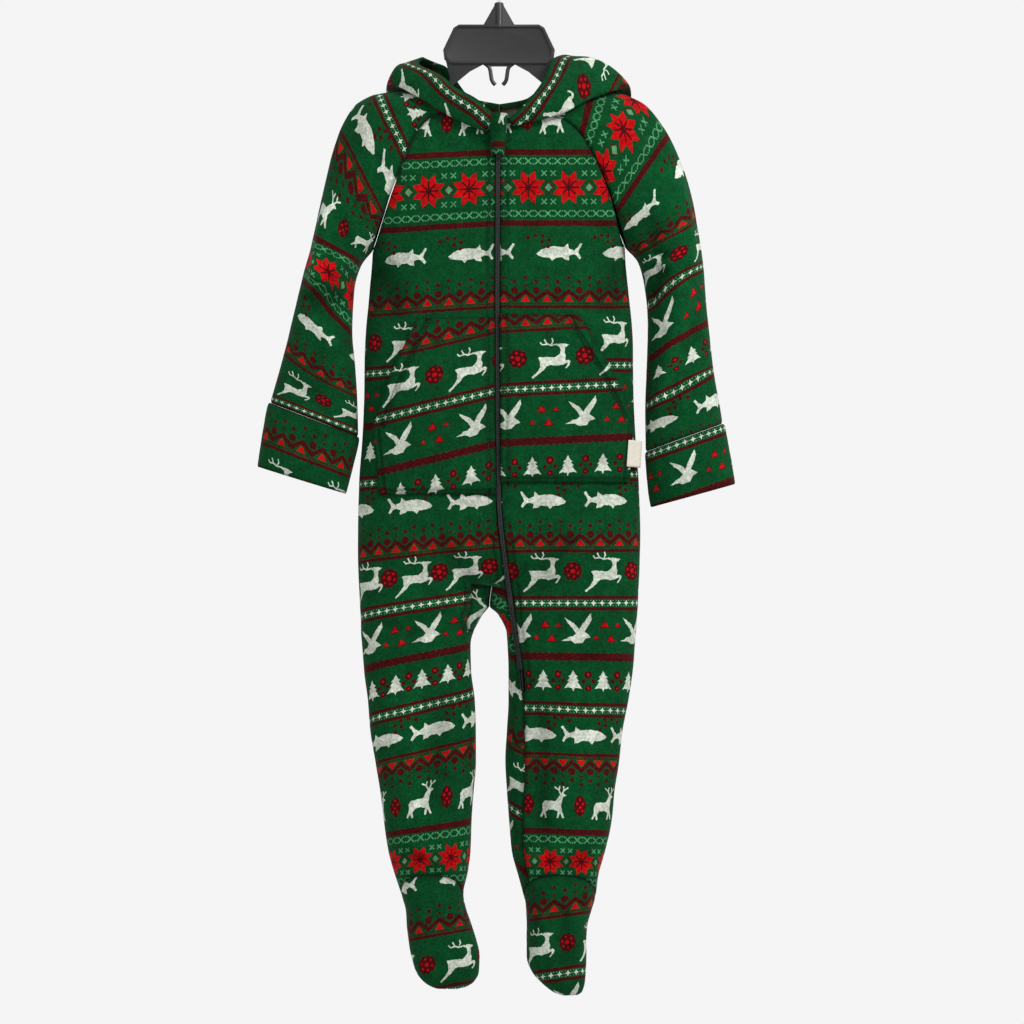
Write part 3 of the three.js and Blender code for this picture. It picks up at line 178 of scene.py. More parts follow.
RING = "outerX outerZ innerX innerZ middle front back"
ARMS = {
    RIGHT: Rows(
        RING,
        [-179, -294, -120, -294, 0, 34, 33], [-184, -312, -131, -309, -2, 34, 31],
        [-189, -332, -137, -331, -4, 29, 30], [-197, -365, -139, -370, -5, 27, 29],
        [-205, -397, -136, -406, -5, 28, 28], [-212, -422, -134, -441, -6, 28, 27],
        [-217, -439, -133, -471, -6, 28, 26],
    ),
    LEFT: Rows(
        RING,
        [192, -292, 120, -292, 0, 34, 33], [193.5, -310, 132, -306, -2, 33, 31],
        [195, -330, 138, -328, -4, 30, 30], [198, -364, 141, -366, -5, 28, 29],
        [202.5, -402, 139.5, -410, -5, 28, 28], [208, -436, 138, -452, -6, 28, 27],
        [212, -459, 139, -485, -6, 28, 26],
    ),
}
CUFFS = {
    RIGHT: Rows(
        RING,
        [-218.8, -438.75, -131.7, -471.9, -6, 29, 27], [-224, -468, -138, -499, -6, 29, 27],
        [-229, -499.5, -144.4, -525.4, -6, 28, 26],
    ),
    LEFT: Rows(
        RING,
        [213.8, -458.8, 138.3, -485.7, -6, 29, 27], [219, -488, 140.5, -513, -6, 29, 27],
        [223.3, -516, 143.5, -538, -6, 28, 26],
    ),
}
HOOD = "row foldX foldY foldZ rimX rimY rimZ puffX puffY puffZ"
HOODS = {
    RIGHT: Rows(
        HOOD,
        [0.45, -12, -44, -189, -4, -45, -172, 0, -3, 0], [0.3, -29, -44, -182, -20, -45, -158, 0, -4, 1],
        [0.3, -51, -43, -171, -40, -41, -146, -1, -5, 4], [0.75, -79, -33, -152, -54, -32, -133, -4, -4, 7],
        [1.4, -104, -4, -137, -76, -8, -117, -8, -2, 6], [1.7, -109, 27, -143, -72, 16, -107, -7, 6, 4],
        [2.2, -102, 60, -212, -54, 46, -109, -6, 8, 0], [2.6, -64, 70, -298, -27, 62, -138, -3, 8, 0],
        [2.8, 0, 72, -338, 0, 66, -143.5, 0, 8, 0],
    ),
    LEFT: Rows(
        HOOD,
        [0.2, 12, -43, -183, 9, -44, -176, 0, -2, 0], [0.25, 32, -43, -179, 20, -44, -166, 0, -3, 1],
        [0.45, 59, -42, -171, 29, -42, -156, 2, -5, 4], [0.9, 88, -33, -155, 41, -33, -138, 6, -5, 7],
        [1.8, 124, -5, -140, 52, -12, -113, 10, -2, 10], [2.1, 127, 27, -150, 64, 14, -106, 9, 6, 7],
        [2.4, 108, 60, -215, 52, 46, -115, 6, 8, 0], [2.6, 66, 70, -298, 26, 62, -139, 3, 8, 0],
        [2.8, 0, 72, -338, 0, 66, -143.5, 0, 8, 0],
    ),
}
POCKETS = {
    RIGHT: ([-361, -464, -526], [74, 116, 112]),
    LEFT: ([-358, -455, -515], [76, 126, 122]),
}
POCKET_GAPE, POCKET_LIFT, POCKET_REST = 8.5, 4.2, 1

# Soft troughs and ridges: x0 z0 x1 z1 width height. The first lines are the frame's own.
FRONT_FOLDS = [
    (-118, -300, -92, -372, 15, -4), (118, -300, 96, -366, 14, -4),
    (-58, -566, -20, -622, 10, -3), (70, -560, 30, -628, 11, -3.5),
    (-92, -690, -78, -850, 15, 3.5), (-52, -700, -62, -842, 12, -3),
    (38, -706, 42, -872, 8, -4), (84, -680, 72, -850, 15, 3.5),
    (-92, -862, -48, -884, 7, -3), (88, -862, 52, -880, 7, -3), (60, -905, 66, -975, 7, -4),
    # finer creases
    (-112, -286, -66, -268, 5, -1.6), (112, -284, 70, -262, 5, -1.6),
    (-96, -560, -40, -612, 6, 1.5), (104, -556, 44, -606, 6, 1.4),
    (-30, -590, -14, -640, 4, -1.8), (26, -586, 12, -640, 4, -1.8),
    (-118, -640, -70, -668, 7, -1.4), (116, -650, 74, -690, 7, -1.3),
    (-112, -760, -84, -776, 6, -1.2), (-40, -800, -66, -822, 6, 1.3),
    (100, -770, 66, -792, 6, -1.2), (30, -826, 62, -846, 5, -1.4),
    (-98, -846, -64, -866, 4, 1.4), (92, -846, 60, -862, 4, 1.4),
    (-70, -905, -52, -935, 5, -1.2), (38, -905, 46, -940, 4, 1.3),
    (-20, -236, -34, -282, 9, -0.8), (24, -240, 40, -300, 9, -0.8),
    (-96, -420, -104, -540, 9, -1.4), (108, -430, 100, -545, 9, -1.2),
]
BACK_FOLDS = [
    (-40, -420, -30, -560, 16, -3), (45, -410, 36, -560, 16, -3),
    (-92, -680, -70, -850, 14, 3), (84, -680, 66, -850, 14, 3),
    (-110, -300, -70, -372, 12, -2.4), (112, -300, 72, -366, 12, -2.4),
    (-60, -590, -22, -640, 9, -2.2), (66, -586, 24, -640, 9, -2.2),
    (-100, -760, -60, -790, 8, -1.5), (94, -764, 56, -790, 8, -1.5),
    (-96, -872, -50, -896, 6, -1.8), (84, -872, 44, -896, 6, -1.8),
    (-84, -470, -60, -600, 12, 1.6), (80, -480, 62, -600, 12, 1.6),
]
# Sleeve creases: side, place along 0-1, degrees round, place, degrees, width, height
SLEEVE_FOLDS = [
    (RIGHT, 0.3, 42, 0.72, 78, 11, 5), (RIGHT, 0.5, 128, 0.63, 62, 12, 6),
    (RIGHT, 0.67, 40, 0.66, 150, 12, -6), (RIGHT, 0.74, 90, 0.98, 95, 12, -3),
    (LEFT, 0.25, 40, 0.6, 62, 10, 5), (LEFT, 0.6, 62, 0.92, 140, 9, 5),
    (LEFT, 0.34, 92, 0.56, 120, 11, -5), (LEFT, 0.56, 100, 0.7, 160, 10, -5),
    (RIGHT, 0.45, -60, 0.8, -110, 12, -4), (LEFT, 0.45, -60, 0.8, -110, 12, -4),
    # finer creases
    (RIGHT, 0.36, 74, 0.5, 128, 6, -2.4), (RIGHT, 0.44, 60, 0.56, 96, 5, -1.8),
    (RIGHT, 0.7, 66, 0.78, 130, 5, 2.2), (RIGHT, 0.86, 40, 0.92, 100, 7, -1.6),
    (LEFT, 0.4, 70, 0.5, 118, 5, 2.0), (LEFT, 0.48, 84, 0.6, 140, 5, -2.2),
    (LEFT, 0.74, 50, 0.8, 96, 6, -1.8), (LEFT, 0.84, 100, 0.96, 120, 7, -1.6),
    (RIGHT, 0.3, -50, 0.5, -130, 8, -2.5), (LEFT, 0.3, -50, 0.5, -130, 8, -2.5),
    (RIGHT, 0.6, -100, 0.72, -30, 6, 2), (LEFT, 0.6, -100, 0.72, -30, 6, 2),
    (RIGHT, 0.12, 20, 0.3, 60, 8, -1.4), (LEFT, 0.12, 20, 0.3, 60, 8, -1.4),
]
SLEEVE_LENGTH, SLEEVE_GIRTH = 420, 0.62


def clamp(v, low=0.0, high=1.0):
    return np.clip(v, low, high)


def smooth(t):
    t = clamp(t)
    return t * t * (3 - 2 * t)


def mix(a, b, t):
    return a + (b - a) * t


def bell(away, width):
    """1 at no distance, falling softly to 0."""
    return np.exp(-((away / width) ** 2))


def points(x, y, z):
    return np.stack(np.broadcast_arrays(x, y, z), axis=-1).astype(float)


def power(v):
    """Squares a circle's sine or cosine a little, as the body's cross-section is."""
    return np.sign(v) * np.abs(v) ** (2 / BODY_SQUARE)


def face_sign(face):
    return -1 if face == "front" else 1


def split_weight(z):
    """How far the body has become two legs at a height: 0 above, 1 at the crotch."""
    return clamp((LEG_SPLIT_START - z) / (LEG_SPLIT_START - CROTCH_Z)) ** LEG_SPLIT_SHARPNESS


def torso_point(side, face, u, z):
    angle = u * math.pi / 2
    middle = CROTCH_X * split_weight(z)
    x = middle + (side * TORSO.at("half", z, "z") - middle) * power(np.sin(angle))
    y = face_sign(face) * TORSO.at(face, z, "z") * power(np.cos(angle))
    return points(x, y, z)


def leg_point(side, face, u, z):
    rows = LEGS[side]
    angle = (u - 0.5) * math.pi
    edge = rows.at("edge", z, "z")
    x = mix(rows.at("inner", z, "z"), rows.at("outer", z, "z"), (1 + power(np.sin(angle))) / 2)
    y = edge + (rows.at(face, z, "z") - edge) * power(clamp(np.cos(angle)))
    return points(x, y, z)


def body_base(side, face, u, z):
    u, z = np.broadcast_arrays(np.asarray(u, float), np.asarray(z, float))
    w = split_weight(z)[..., None]
    return mix(torso_point(side, face, u, z), leg_point(side, face, u, z), w)


def zip_x(z):
    return ZIP_LINE.at("x", z, "z")


def u_at_x(side, face, x, z):
    """The share across one half at which the body lies at x, found by halving."""
    x, z = np.broadcast_arrays(np.asarray(x, float), np.asarray(z, float))
    low, high = np.zeros(x.shape), np.ones(x.shape)
    for _ in range(26):
        middle = (low + high) / 2
        short = side * (body_base(side, face, middle, z)[..., 0] - x) < 0
        low, high = np.where(short, middle, low), np.where(short, high, middle)
    return (low + high) / 2


def signed_at_x(face, x, z):
    left = x >= CROTCH_X * split_weight(z)
    return np.where(left, u_at_x(LEFT, face, x, z), -u_at_x(RIGHT, face, x, z))


def body_at(face, s, z, home=LEFT):
    """Body place for a signed share across: below 0 on the right half, above 0 on the left."""
    s, z = np.broadcast_arrays(np.asarray(s, float), np.asarray(z, float))
    u = np.abs(s)
    left = np.where(s == 0, home == LEFT, s > 0)[..., None]
    return np.where(left, body_base(LEFT, face, u, z), body_base(RIGHT, face, u, z))


def yoke_point(side, face, u, k):
    """A place above the underarm: u from the middle to the raglan seam, k rows down from the neck."""
    rows = RAGLANS[side]
    seam_x, seam_z = rows.at(face + "X", k), rows.at(face + "Z", k)
    neck = NECK_FRONT_Z if face == "front" else NECK_BACK_Z
    middle_z = mix(neck, rows.end(face + "Z"), k / UNDERARM_ROW)
    across = power(np.sin(u * math.pi / 2))
    z = mix(middle_z, seam_z, across**1.5)
    x = seam_x * across
    share = clamp(np.abs(x) / TORSO.at("half", z, "z"))
    depth = (1 - share**BODY_SQUARE) ** (1 / BODY_SQUARE)
    return points(x, face_sign(face) * TORSO.at(face, z, "z") * depth, z)


def shoulder_point(side, k, share):
    """A place on the sleeve between its raglan seams: 1 at the front seam, -1 at the back one."""
    k, share = np.broadcast_arrays(np.asarray(k, float), np.asarray(share, float))
    rows = RAGLANS[side]
    out = np.zeros(k.shape + (3,))
    for face, use in (("front", share >= 0), ("back", share < 0)):
        seam_x, seam_z = rows.at(face + "X", k), rows.at(face + "Z", k)
        seam_turn = np.radians(rows.at("turn", k))
        angle = seam_turn * np.abs(share)
        reach = (1 - np.cos(angle)) / (1 - np.cos(seam_turn))
        seam_y = yoke_point(side, face, np.ones(k.shape), k)[..., 1]
        ring = ARMS[side].data[face][0] * face_sign(face)
        closed = smooth((k - 5) / (UNDERARM_ROW - 5))
        depth = mix(seam_y / np.maximum(np.sin(seam_turn), 0.35), ring, closed)
        y = depth * np.sin(angle) + (seam_y - depth * np.sin(seam_turn)) * np.abs(share) ** 3
        x = mix(rows.at("topX", k), seam_x, reach)
        z = mix(rows.at("topZ", k), seam_z, reach)
        out[use] = points(x, y, z)[use]
    return out


def ring_point(rows, at, turn):
    """A place on a tube of rings, turned in degrees from its outer ridge to the front."""
    row = at * (rows.count - 1)
    angle = np.radians(turn)
    depth = np.where(np.sin(angle) >= 0, -rows.at("front", row), -rows.at("back", row))
    share = (1 - np.cos(angle)) / 2
    return points(
        mix(rows.at("outerX", row), rows.at("innerX", row), share),
        rows.at("middle", row) + depth * np.sin(angle),
        mix(rows.at("outerZ", row), rows.at("innerZ", row), share),
    )


def sleeve_base(side, at, share):
    at, share = np.broadcast_arrays(np.asarray(at, float), np.asarray(share, float))
    k = clamp(at / UNDERARM_AT, 0, 1) * UNDERARM_ROW
    below = clamp((at - UNDERARM_AT) / (1 - UNDERARM_AT))
    upper = (at < UNDERARM_AT)[..., None]
    return np.where(upper, shoulder_point(side, k, share), ring_point(ARMS[side], below, share * 180))


def seam_turn_at(side, at):
    k = clamp(at / UNDERARM_AT, 0, 1) * UNDERARM_ROW
    return np.where(at < UNDERARM_AT, RAGLANS[side].at("turn", k), 180.0)


def unit(v):
    return v / np.maximum(np.linalg.norm(v, axis=-1, keepdims=True), 1e-9)


def normal_of(surface, u, v, du, dv):
    return unit(np.cross(surface(u + du, v) - surface(u - du, v), surface(u, v + dv) - surface(u, v - dv)))


def collar_point(side, station, k):
    """A place on the garment k rows below the neck seam, from the zip round to the middle back."""
    station, k = np.broadcast_arrays(np.asarray(station, float), np.asarray(k, float))
    front = yoke_point(side, "front", clamp(station / 2), k)
    back = yoke_point(side, "back", clamp((HOOD_STATIONS - station) / 2), k)
    ridge = shoulder_point(side, k, clamp((4 - station) / 2, -1, 1))
    s = station[..., None]
    return np.where(s <= 2, front, np.where(s >= 6, back, ridge))


def collar_normal(side, station, k):
    inside = clamp(station, 0.2, HOOD_STATIONS - 0.2)
    return normal_of(lambda a, b: collar_point(side, a, b), inside, np.maximum(k, 0.1), 0.1, 0.08) * -side


def spline(knots, t):
    """Points on the centripetal curve through the knots, at equal shares of its knots."""
    knots = np.asarray(knots)
    count = len(knots)
    place = t * (count - 1)
    i = min(int(place), count - 2)
    w = place - i
    p1, p2 = knots[i], knots[i + 1]
    p0 = knots[i - 1] if i > 0 else 2 * p1 - p2
    p3 = knots[i + 2] if i + 2 < count else 2 * p2 - p1
    gap = [max(np.sum((b - a) ** 2) ** 0.25, 1e-4) for a, b in ((p0, p1), (p1, p2), (p2, p3))]
    d0, d1, d2 = gap
    t1 = (p1 - p0) / d0 - (p2 - p0) / (d0 + d1) + (p2 - p1) / d1
    t2 = (p2 - p1) / d1 - (p3 - p1) / (d1 + d2) + (p3 - p2) / d2
    t1, t2 = t1 * d1, t2 * d1
    return (
        p1 + t1 * w
        + (-3 * p1 + 3 * p2 - 2 * t1 - t2) * w * w
        + (2 * p1 - 2 * p2 + t1 + t2) * w * w * w
    )


def hood_line(side, station):
    """The hood's cloth at one station, from the neck seam over its soft fold to the free rim."""
    rows = HOODS[side]
    get = lambda key: float(rows.at(key, station))
    row = get("row")
    along = collar_normal(side, station, row)

    def on_garment(k, lift):
        return collar_point(side, station, k) + collar_normal(side, station, k) * lift

    fold, rim, puff = (np.array([get(part + axis) for axis in "XYZ"]) for part in ("fold", "rim", "puff"))
    start = on_garment(0, HOOD_REST)
    least = ZIP_HALF_SLOT + 1
    start[0] = side * max(side * start[0], least if station < 1 else 0)
    under = on_garment(row, HOOD_REST + 0.5)
    under[0] = side * max(side * under[0], least + 3 if station < 1 else 0)
    half = on_garment(row / 2, HOOD_REST)
    half[0] = (start[0] + under[0]) / 2
    return [
        start, half, under, mix(under, fold, 0.6) - along * 0.3, fold,
        mix(fold, rim, 0.2) + puff * 0.6, mix(fold, rim, 0.6) + puff, rim,
    ]


def segment_weight(px, py, x0, y0, x1, y1, width):
    dx, dy = x1 - x0, y1 - y0
    t = clamp(((px - x0) * dx + (py - y0) * dy) / (dx * dx + dy * dy))
    away = np.hypot(px - x0 - dx * t, py - y0 - dy * t)
    return bell(away, width) * smooth(np.minimum(t, 1 - t) * 4)


def ripple(p, size, seed):
    """A small smooth unevenness of hand-hung cloth, from a few crossing waves."""
    rng = np.random.RandomState(seed)
    total = np.zeros(len(p))
    for _ in range(6):
        way = unit(rng.normal(size=3))
        total += np.sin(p @ way * (2 * math.pi / (size * rng.uniform(0.7, 1.5))) + rng.uniform(0, 6.28))
    return total / 6


# ---------------------------------------------------------------------------------- the print
GREEN, DARK, BRIGHT, WHITE, PALE = range(5)

def mirrored(half):
    """A whole outline from its left half, which runs from top to bottom."""
    return half + [(-x, y) for x, y in half[-2:0:-1]]


def circle(reach, turn):
    return np.stack([reach * np.cos(turn), reach * np.sin(turn)], axis=1)


# Charted silhouettes, in millimetres about their middle
FISH = [
    (-22, -1), (-18, 2.5), (-12, 5), (-6, 6), (0, 5.5), (4, 5), (8, 8.5), (9, 4), (14, 2), (17, 4.5),
    (20, 9), (22, 8), (19, 3), (18, 0), (21, -5), (19.5, -6.5), (16, -2.5), (13, -1.5), (9, -3),
    (9.5, -7.5), (5, -6.5), (2, -4.5), (-4, -5), (-7, -8), (-9, -5), (-15, -4.5), (-20, -3),
]
LEAPING = [
    (17, 11), (13, 8.5), (12.5, 4), (13.5, 0), (13, -4), (16, -3.5), (18, -5), (17, -8), (14, -11.5),
    (13, -11), (15.5, -7.5), (15, -6), (11.5, -7.5), (6, -8.5), (0, -7.5), (-4, -8.5), (-7, -12),
    (-12, -16), (-17, -20), (-18, -18.5), (-13, -14), (-10, -9), (-10, -4), (-12, 0), (-9, 0.5),
    (-3, 0), (4, -0.5), (8, 2.5), (9, 6), (8, 9.5), (4, 11.5), (9, 12.5), (13, 12),
]
LEAPING_ANTLERS = [
    [(6, 12), (0, 11), (-4, 13), (-6, 17)], [(0, 11), (2, 15), (1, 18)], [(-3, 12.5), (-8, 12), (-10, 14.5)],
]
STANDING = [
    (12, 9), (9, 7.5), (8, 3), (7, -1), (8, -6), (10, -12), (8.5, -12.5), (6, -7), (4.5, -12.5),
    (3, -12.5), (4, -6), (0, -4.5), (-5, -5), (-8, -8), (-7, -13), (-8.5, -13.5), (-10, -9),
    (-12, -13), (-13.5, -12.5), (-11, -6), (-11, 0), (-9, 3), (-3, 3.5), (2, 3.5), (5, 8), (7, 10.5),
    (10, 11),
]
STANDING_ANTLERS = [
    [(7, 10), (5, 14), (1, 17)], [(5, 14), (6, 18)], [(8, 10.5), (10, 14), (14, 17)], [(10, 14), (9.5, 18)],
]
GOOSE = [
    (-16, -8.5), (-11, -6.5), (-9, -5), (-5, -4.5), (-2, -2), (-5, 3), (-10, 8), (-13, 13), (-8, 10),
    (-3, 7), (1, 2), (4, 7), (9, 13), (12, 17), (13, 12), (10, 6), (6, 0), (10, -3), (12, -5),
    (7, -6.5), (4, -10.5), (-3, -11), (-7, -8.5), (-11, -8.5),
]
TREE = mirrored([
    (0, 10.5), (-2, 6.5), (-4.5, 4.5), (-2.5, 4), (-5.5, 0.5), (-3.5, 0.5), (-8.5, -6.5), (-5, -5.5),
    (-1.2, -6), (0, -9),
])
CONE = mirrored([(0, 11), (-2.4, 8), (-4.2, 7), (-5, 3), (-6.6, 1), (-5, -3), (-4.6, -6), (0, -11)])


class Print:
    """Outlines of the printed cloth on a flat sheet: x runs across it and v down its length."""

    def __init__(self, seed):
        self.shapes = []
        self.rng = np.random.RandomState(seed)

    def add(self, outline, colour, x=0.0, v=0.0, scale=(1, 1), fine=1.8, wobble=0.26):
        p = np.array(outline, float) * scale
        p = np.stack([x + p[:, 0], v - p[:, 1]], axis=1)
        q = np.roll(p, -1, axis=0)
        steps = np.maximum(1, np.ceil(np.hypot(*(q - p).T) / fine).astype(int))
        out = np.concatenate([mix(a, b, (np.arange(n) / n)[:, None]) for a, b, n in zip(p, q, steps)])
        out += self.rng.uniform(-wobble, wobble, out.shape)
        self.shapes.append((out, colour))

    def stroke(self, line, width, colour, x, v):
        p = np.array(line, float)
        way = unit(np.gradient(p, axis=0))
        across = np.stack([-way[:, 1], way[:, 0]], axis=1) * width / 2
        self.add(np.concatenate([p + across, (p - across)[::-1]]), colour, x, v, fine=2.2, wobble=0.12)

    def dot(self, x, v, r, colour, sides=9):
        turn = np.arange(sides) / sides * 2 * math.pi
        self.add(circle(r, turn), colour, x, v, fine=9, wobble=r * 0.1)

    def cross(self, x, v, r, colour):
        for sign in (1, -1):
            self.stroke([(-r, -r * sign), (0, 0), (r, r * sign)], 1.15, colour, x, v)


def spans(low, high, pitch, phase):
    """Evenly spaced places between two limits."""
    first = math.ceil((low - phase) / pitch)
    return [phase + i * pitch for i in range(first, int((high - phase) // pitch) + 1)]


def stripe(sheet, low, high, v, height):
    count = max(2, int((high - low) / 2.2))
    xs = np.linspace(low, high, count)
    top = [(x, height / 2) for x in xs]
    sheet.add(top + [(x, -height / 2) for x in xs[::-1]], DARK, 0, v, fine=99, wobble=0.3)


def band_line(sheet, low, high, v, height=5.6, **_):
    stripe(sheet, low, high, v, height)


def band_crosses(sheet, low, high, v, pitch=9.3, **_):
    for x in spans(low - 5, high + 5, pitch, 0):
        sheet.cross(x, v, 3.1, PALE)
        for dv in (-2.6, 2.6):
            sheet.dot(x + pitch / 2, v + dv, 0.8, PALE, 6)


def band_stars(sheet, low, high, v, phase=0.0, pitch=38.8, size=1.0, **_):
    for x in spans(low - 20, high + 20, pitch, phase):
        for dv in (-13.5 * size, 13.5 * size):
            for dx in (-4.4 * size, 4.4 * size):
                sheet.cross(x + pitch / 2 + dx, v + dv, 2.5 * size, PALE)
        diamond = np.array([(0, 5.6), (-5, 0), (0, -5.6), (5, 0)]) * size
        sheet.add(diamond, DARK, x + pitch / 2, v)
        sheet.add(diamond * 0.72, PALE, x + pitch / 2, v)
        turns = (np.arange(16) * 22.5 + 22.5) * math.pi / 180
        reach = np.where(np.arange(16) % 2 == 0, 17.9, 9.2) * size
        sheet.add(circle(reach, turns), DARK, x, v, wobble=0.2)
        for i in range(8):
            turn = math.radians(22.5 + 45 * i)
            way = np.array([math.cos(turn), math.sin(turn)])
            side = np.array([-way[1], way[0]])
            petal = [way * 2.4, way * 10.2 + side * 3.7, way * 16.9, way * 10.2 - side * 3.7]
            sheet.add(np.array(petal) * size, BRIGHT, x, v, wobble=0.2)


def band_fish(sheet, low, high, v, phase=0.0, pitch=64.5, facing=-1, **_):
    for x in spans(low - 24, high + 24, pitch, phase):
        sheet.add(FISH, WHITE, x, v, (-facing, 1))
        for dx, dy in ((-7, 0.5), (-1, 4.4), (6, 4.8), (13, 2.4), (-0.5, -1.5), (-6, -5.6)):
            sheet.dot(x + (dx + (17 if facing < 0 else 21)) * facing, v - 11.5 - dy, 2.0, DARK, 7)


def band_zigzag(sheet, low, high, v, phase=0.0, pitch=19.7, down=1, **_):
    """v is the band's solid line; the dots lie away from it."""
    stripe(sheet, low, high, v, 3.0)
    for x in spans(low - 8, high + 8, 2.6, 0):
        tooth = [(-0.8, 0.7), (-0.8, -0.7), (0.8, -0.7), (0.8, 0.7)]
        sheet.add(tooth, DARK, x, v - 3.2 * down, fine=9, wobble=0.15)
    for x in spans(low - 12, high + 12, pitch, phase):
        half = pitch / 2
        line = [(-half, 4.4), (0, 12.2), (half, 4.4), (half, 9.6), (0, 17.2), (-half, 9.6)]
        sheet.add(line, DARK, x, v, (1, down))
        sheet.add([(-4.6, 4.9), (0, 11.2), (4.6, 4.9)], BRIGHT, x, v, (1, down), wobble=0.2)
        sheet.dot(x + half, v - 15.6 * down, 3.7, DARK)
        for dx, dy, r in ((0, 20.4, 1.5), (half, 23.8, 2.1), (0, 27.8, 1.9)):
            sheet.dot(x + dx, v - dy * down, r, DARK, 7)


def band_deer(sheet, low, high, v, phase=0.0, pitch=62.0, **_):
    for x in spans(low - 20, high + 20, pitch, phase):
        sheet.add(LEAPING, WHITE, x, v)
        for line in LEAPING_ANTLERS:
            sheet.stroke(line, 1.3, WHITE, x, v)
    for x in spans(low - 12, high + 12, pitch, phase + pitch / 2):
        turn = np.arange(18) / 18 * 2 * math.pi
        reach = 8.9 + 0.7 * np.cos(turn * 9)
        sheet.add(circle(reach, turn), DARK, x, v)
        sheet.dot(x, v, 2.3, BRIGHT, 7)
        for i in range(6):
            a = i * math.pi / 3 + 0.3
            sheet.dot(x + 5.4 * math.cos(a), v + 5.4 * math.sin(a), 1.35, BRIGHT, 6)


def band_stags(sheet, low, high, v, phase=0.0, pitch=64.0, **_):
    for x in spans(low - 20, high + 20, pitch, phase):
        sheet.add(STANDING, WHITE, x, v)
        for line in STANDING_ANTLERS:
            sheet.stroke(line, 1.25, WHITE, x, v)
    for x in spans(low - 12, high + 12, pitch, phase + pitch / 2):
        sheet.add(CONE, DARK, x, v)
        for dx, dy in ((0, 6), (-2.6, 2), (2.6, 2), (0, -1.5), (-2.2, -5), (2.2, -5)):
            sheet.add([(0, 1.8), (-1.3, 0), (0, -1.8), (1.3, 0)], BRIGHT, x + dx, v - dy, wobble=0.15)


def band_lattice(sheet, low, high, v, pitch=8.2, **_):
    for dv in (-5.4, 5.4):
        stripe(sheet, low, high, v + dv, 3.0)
    for x in spans(low - 5, high + 5, pitch, 0):
        star = [(0, 3.1), (-0.9, 0.9), (-3.1, 0), (-0.9, -0.9), (0, -3.1), (0.9, -0.9), (3.1, 0), (0.9, 0.9)]
        sheet.add(star, WHITE, x, v, fine=9, wobble=0.15)
        for dx in (-1, 1):
            for dv in (-1, 1):
                mark = [(-0.75, 0), (0, 0.75), (0.75, 0), (0, -0.75)]
                sheet.add(mark, PALE, x + dx * 2.5, v + dv * 2.5, fine=9, wobble=0.1)
        sheet.add([(-0.9, 0), (0, 0.9), (0.9, 0), (0, -0.9)], PALE, x + pitch / 2, v, fine=9, wobble=0.1)


def band_geese(sheet, low, high, v, phase=0.0, pitch=66.0, **_):
    for x in spans(low - 20, high + 20, pitch, phase):
        sheet.add(GOOSE, WHITE, x, v)
    for x in spans(low - 16, high + 16, pitch, phase + pitch / 2):
        for dx, dy, size in ((-3, 6.5, 1), (10, 6.2, 0.66), (-11.5, -5.5, 0.66), (3.5, -6.5, 1)):
            outer = [(-5.4, -3.2), (0, 4.6), (5.4, -3.2)]
            inner = [(-3.9, -2.3), (0, 3.2), (3.9, -2.3)]
            sheet.add(outer, DARK, x + dx, v - dy, (size, size))
            sheet.add(inner, BRIGHT, x + dx, v - dy, (size, size))


def band_jagged(sheet, low, high, v, height=7.2, **_):
    xs = np.arange(low - 2, high + 2, 3.1)
    edge = [(x, height / 2 + (0.7 if i % 2 else -0.7)) for i, x in enumerate(xs)]
    foot = [(x, -height / 2 + (0.7 if i % 2 else -0.7)) for i, x in enumerate(xs)]
    sheet.add(edge + foot[::-1], DARK, 0, v, fine=9, wobble=0.25)


def band_trees(sheet, low, high, v, phase=0.0, pitch=33.0, **_):
    for x in spans(low - 10, high + 10, pitch, phase):
        sheet.add(TREE, WHITE, x, v)
    for x in spans(low - 8, high + 8, pitch, phase + pitch / 2):
        for dx, dy, r in ((0, 6.6, 3.9), (-4.7, 0.6, 2.1), (4.7, 0.6, 2.1), (0, -5.6, 3.2)):
            sheet.dot(x + dx, v - dy, r, DARK, 8)
        sheet.dot(x, v - 6.6, 1.5, BRIGHT, 6)
        sheet.dot(x, v + 5.6, 1.1, BRIGHT, 6)


# The print repeats after this length
LOOP = 633
# Bands of the print down the cloth: kind, place, and what differs from row to row. A pair is for
# the right half and the left half, and the phase is where a motif stands.
BANDS = [
    (band_fish, 28, dict(phase=(-25.5, 57.5), pitch=64.5)),
    (band_zigzag, 79.5, dict(phase=(-6, 4.5), pitch=20.6)),
    (band_deer, 106, dict(phase=(-28.7, 48.7), pitch=62)), (band_lattice, 135, {}),
    (band_geese, 161.5, dict(phase=(-24, 8), pitch=70)), (band_jagged, 185, {}),
    (band_trees, 210, dict(phase=(-26, 31.5), pitch=33.4)), (band_lattice, 239, {}),
    (band_fish, 264, dict(phase=(-27.5, 42), pitch=(57.5, 60.6), facing=1)),
    (band_zigzag, 312, dict(phase=(-10, 20), pitch=(17.6, 19.2))),
    (band_deer, 331, dict(phase=(-32.6, 40.6), pitch=(48, 59.3))), (band_lattice, 361, {}),
    (band_geese, 387.6, dict(phase=(-67.3, 75.4), pitch=57)), (band_jagged, 411, {}),
    (band_trees, 434, dict(phase=(-73, 42), pitch=(25, 28.6))), (band_lattice, 460, {}),
    (band_fish, 484.5, dict(phase=(-62.5, 81), pitch=(50, 48), facing=1)),
    (band_zigzag, 503, dict(phase=(-67, 60.7), pitch=17.2, down=-1)),
    (band_stags, 551, dict(phase=(-74, 52), pitch=49.5)),
]
# Rows of stars: the line above, crosses, the stars, crosses, the line below, and the stars' facts
STAR_ROWS = [
    (-67.5, -59, -34, -9.2, 0, dict(phase=(-27.9, 27.9), pitch=38.8)),
    (576.6, 584, 605, 624, 633, dict(phase=(-44.8, 48.8), pitch=30.6, size=0.79)),
]
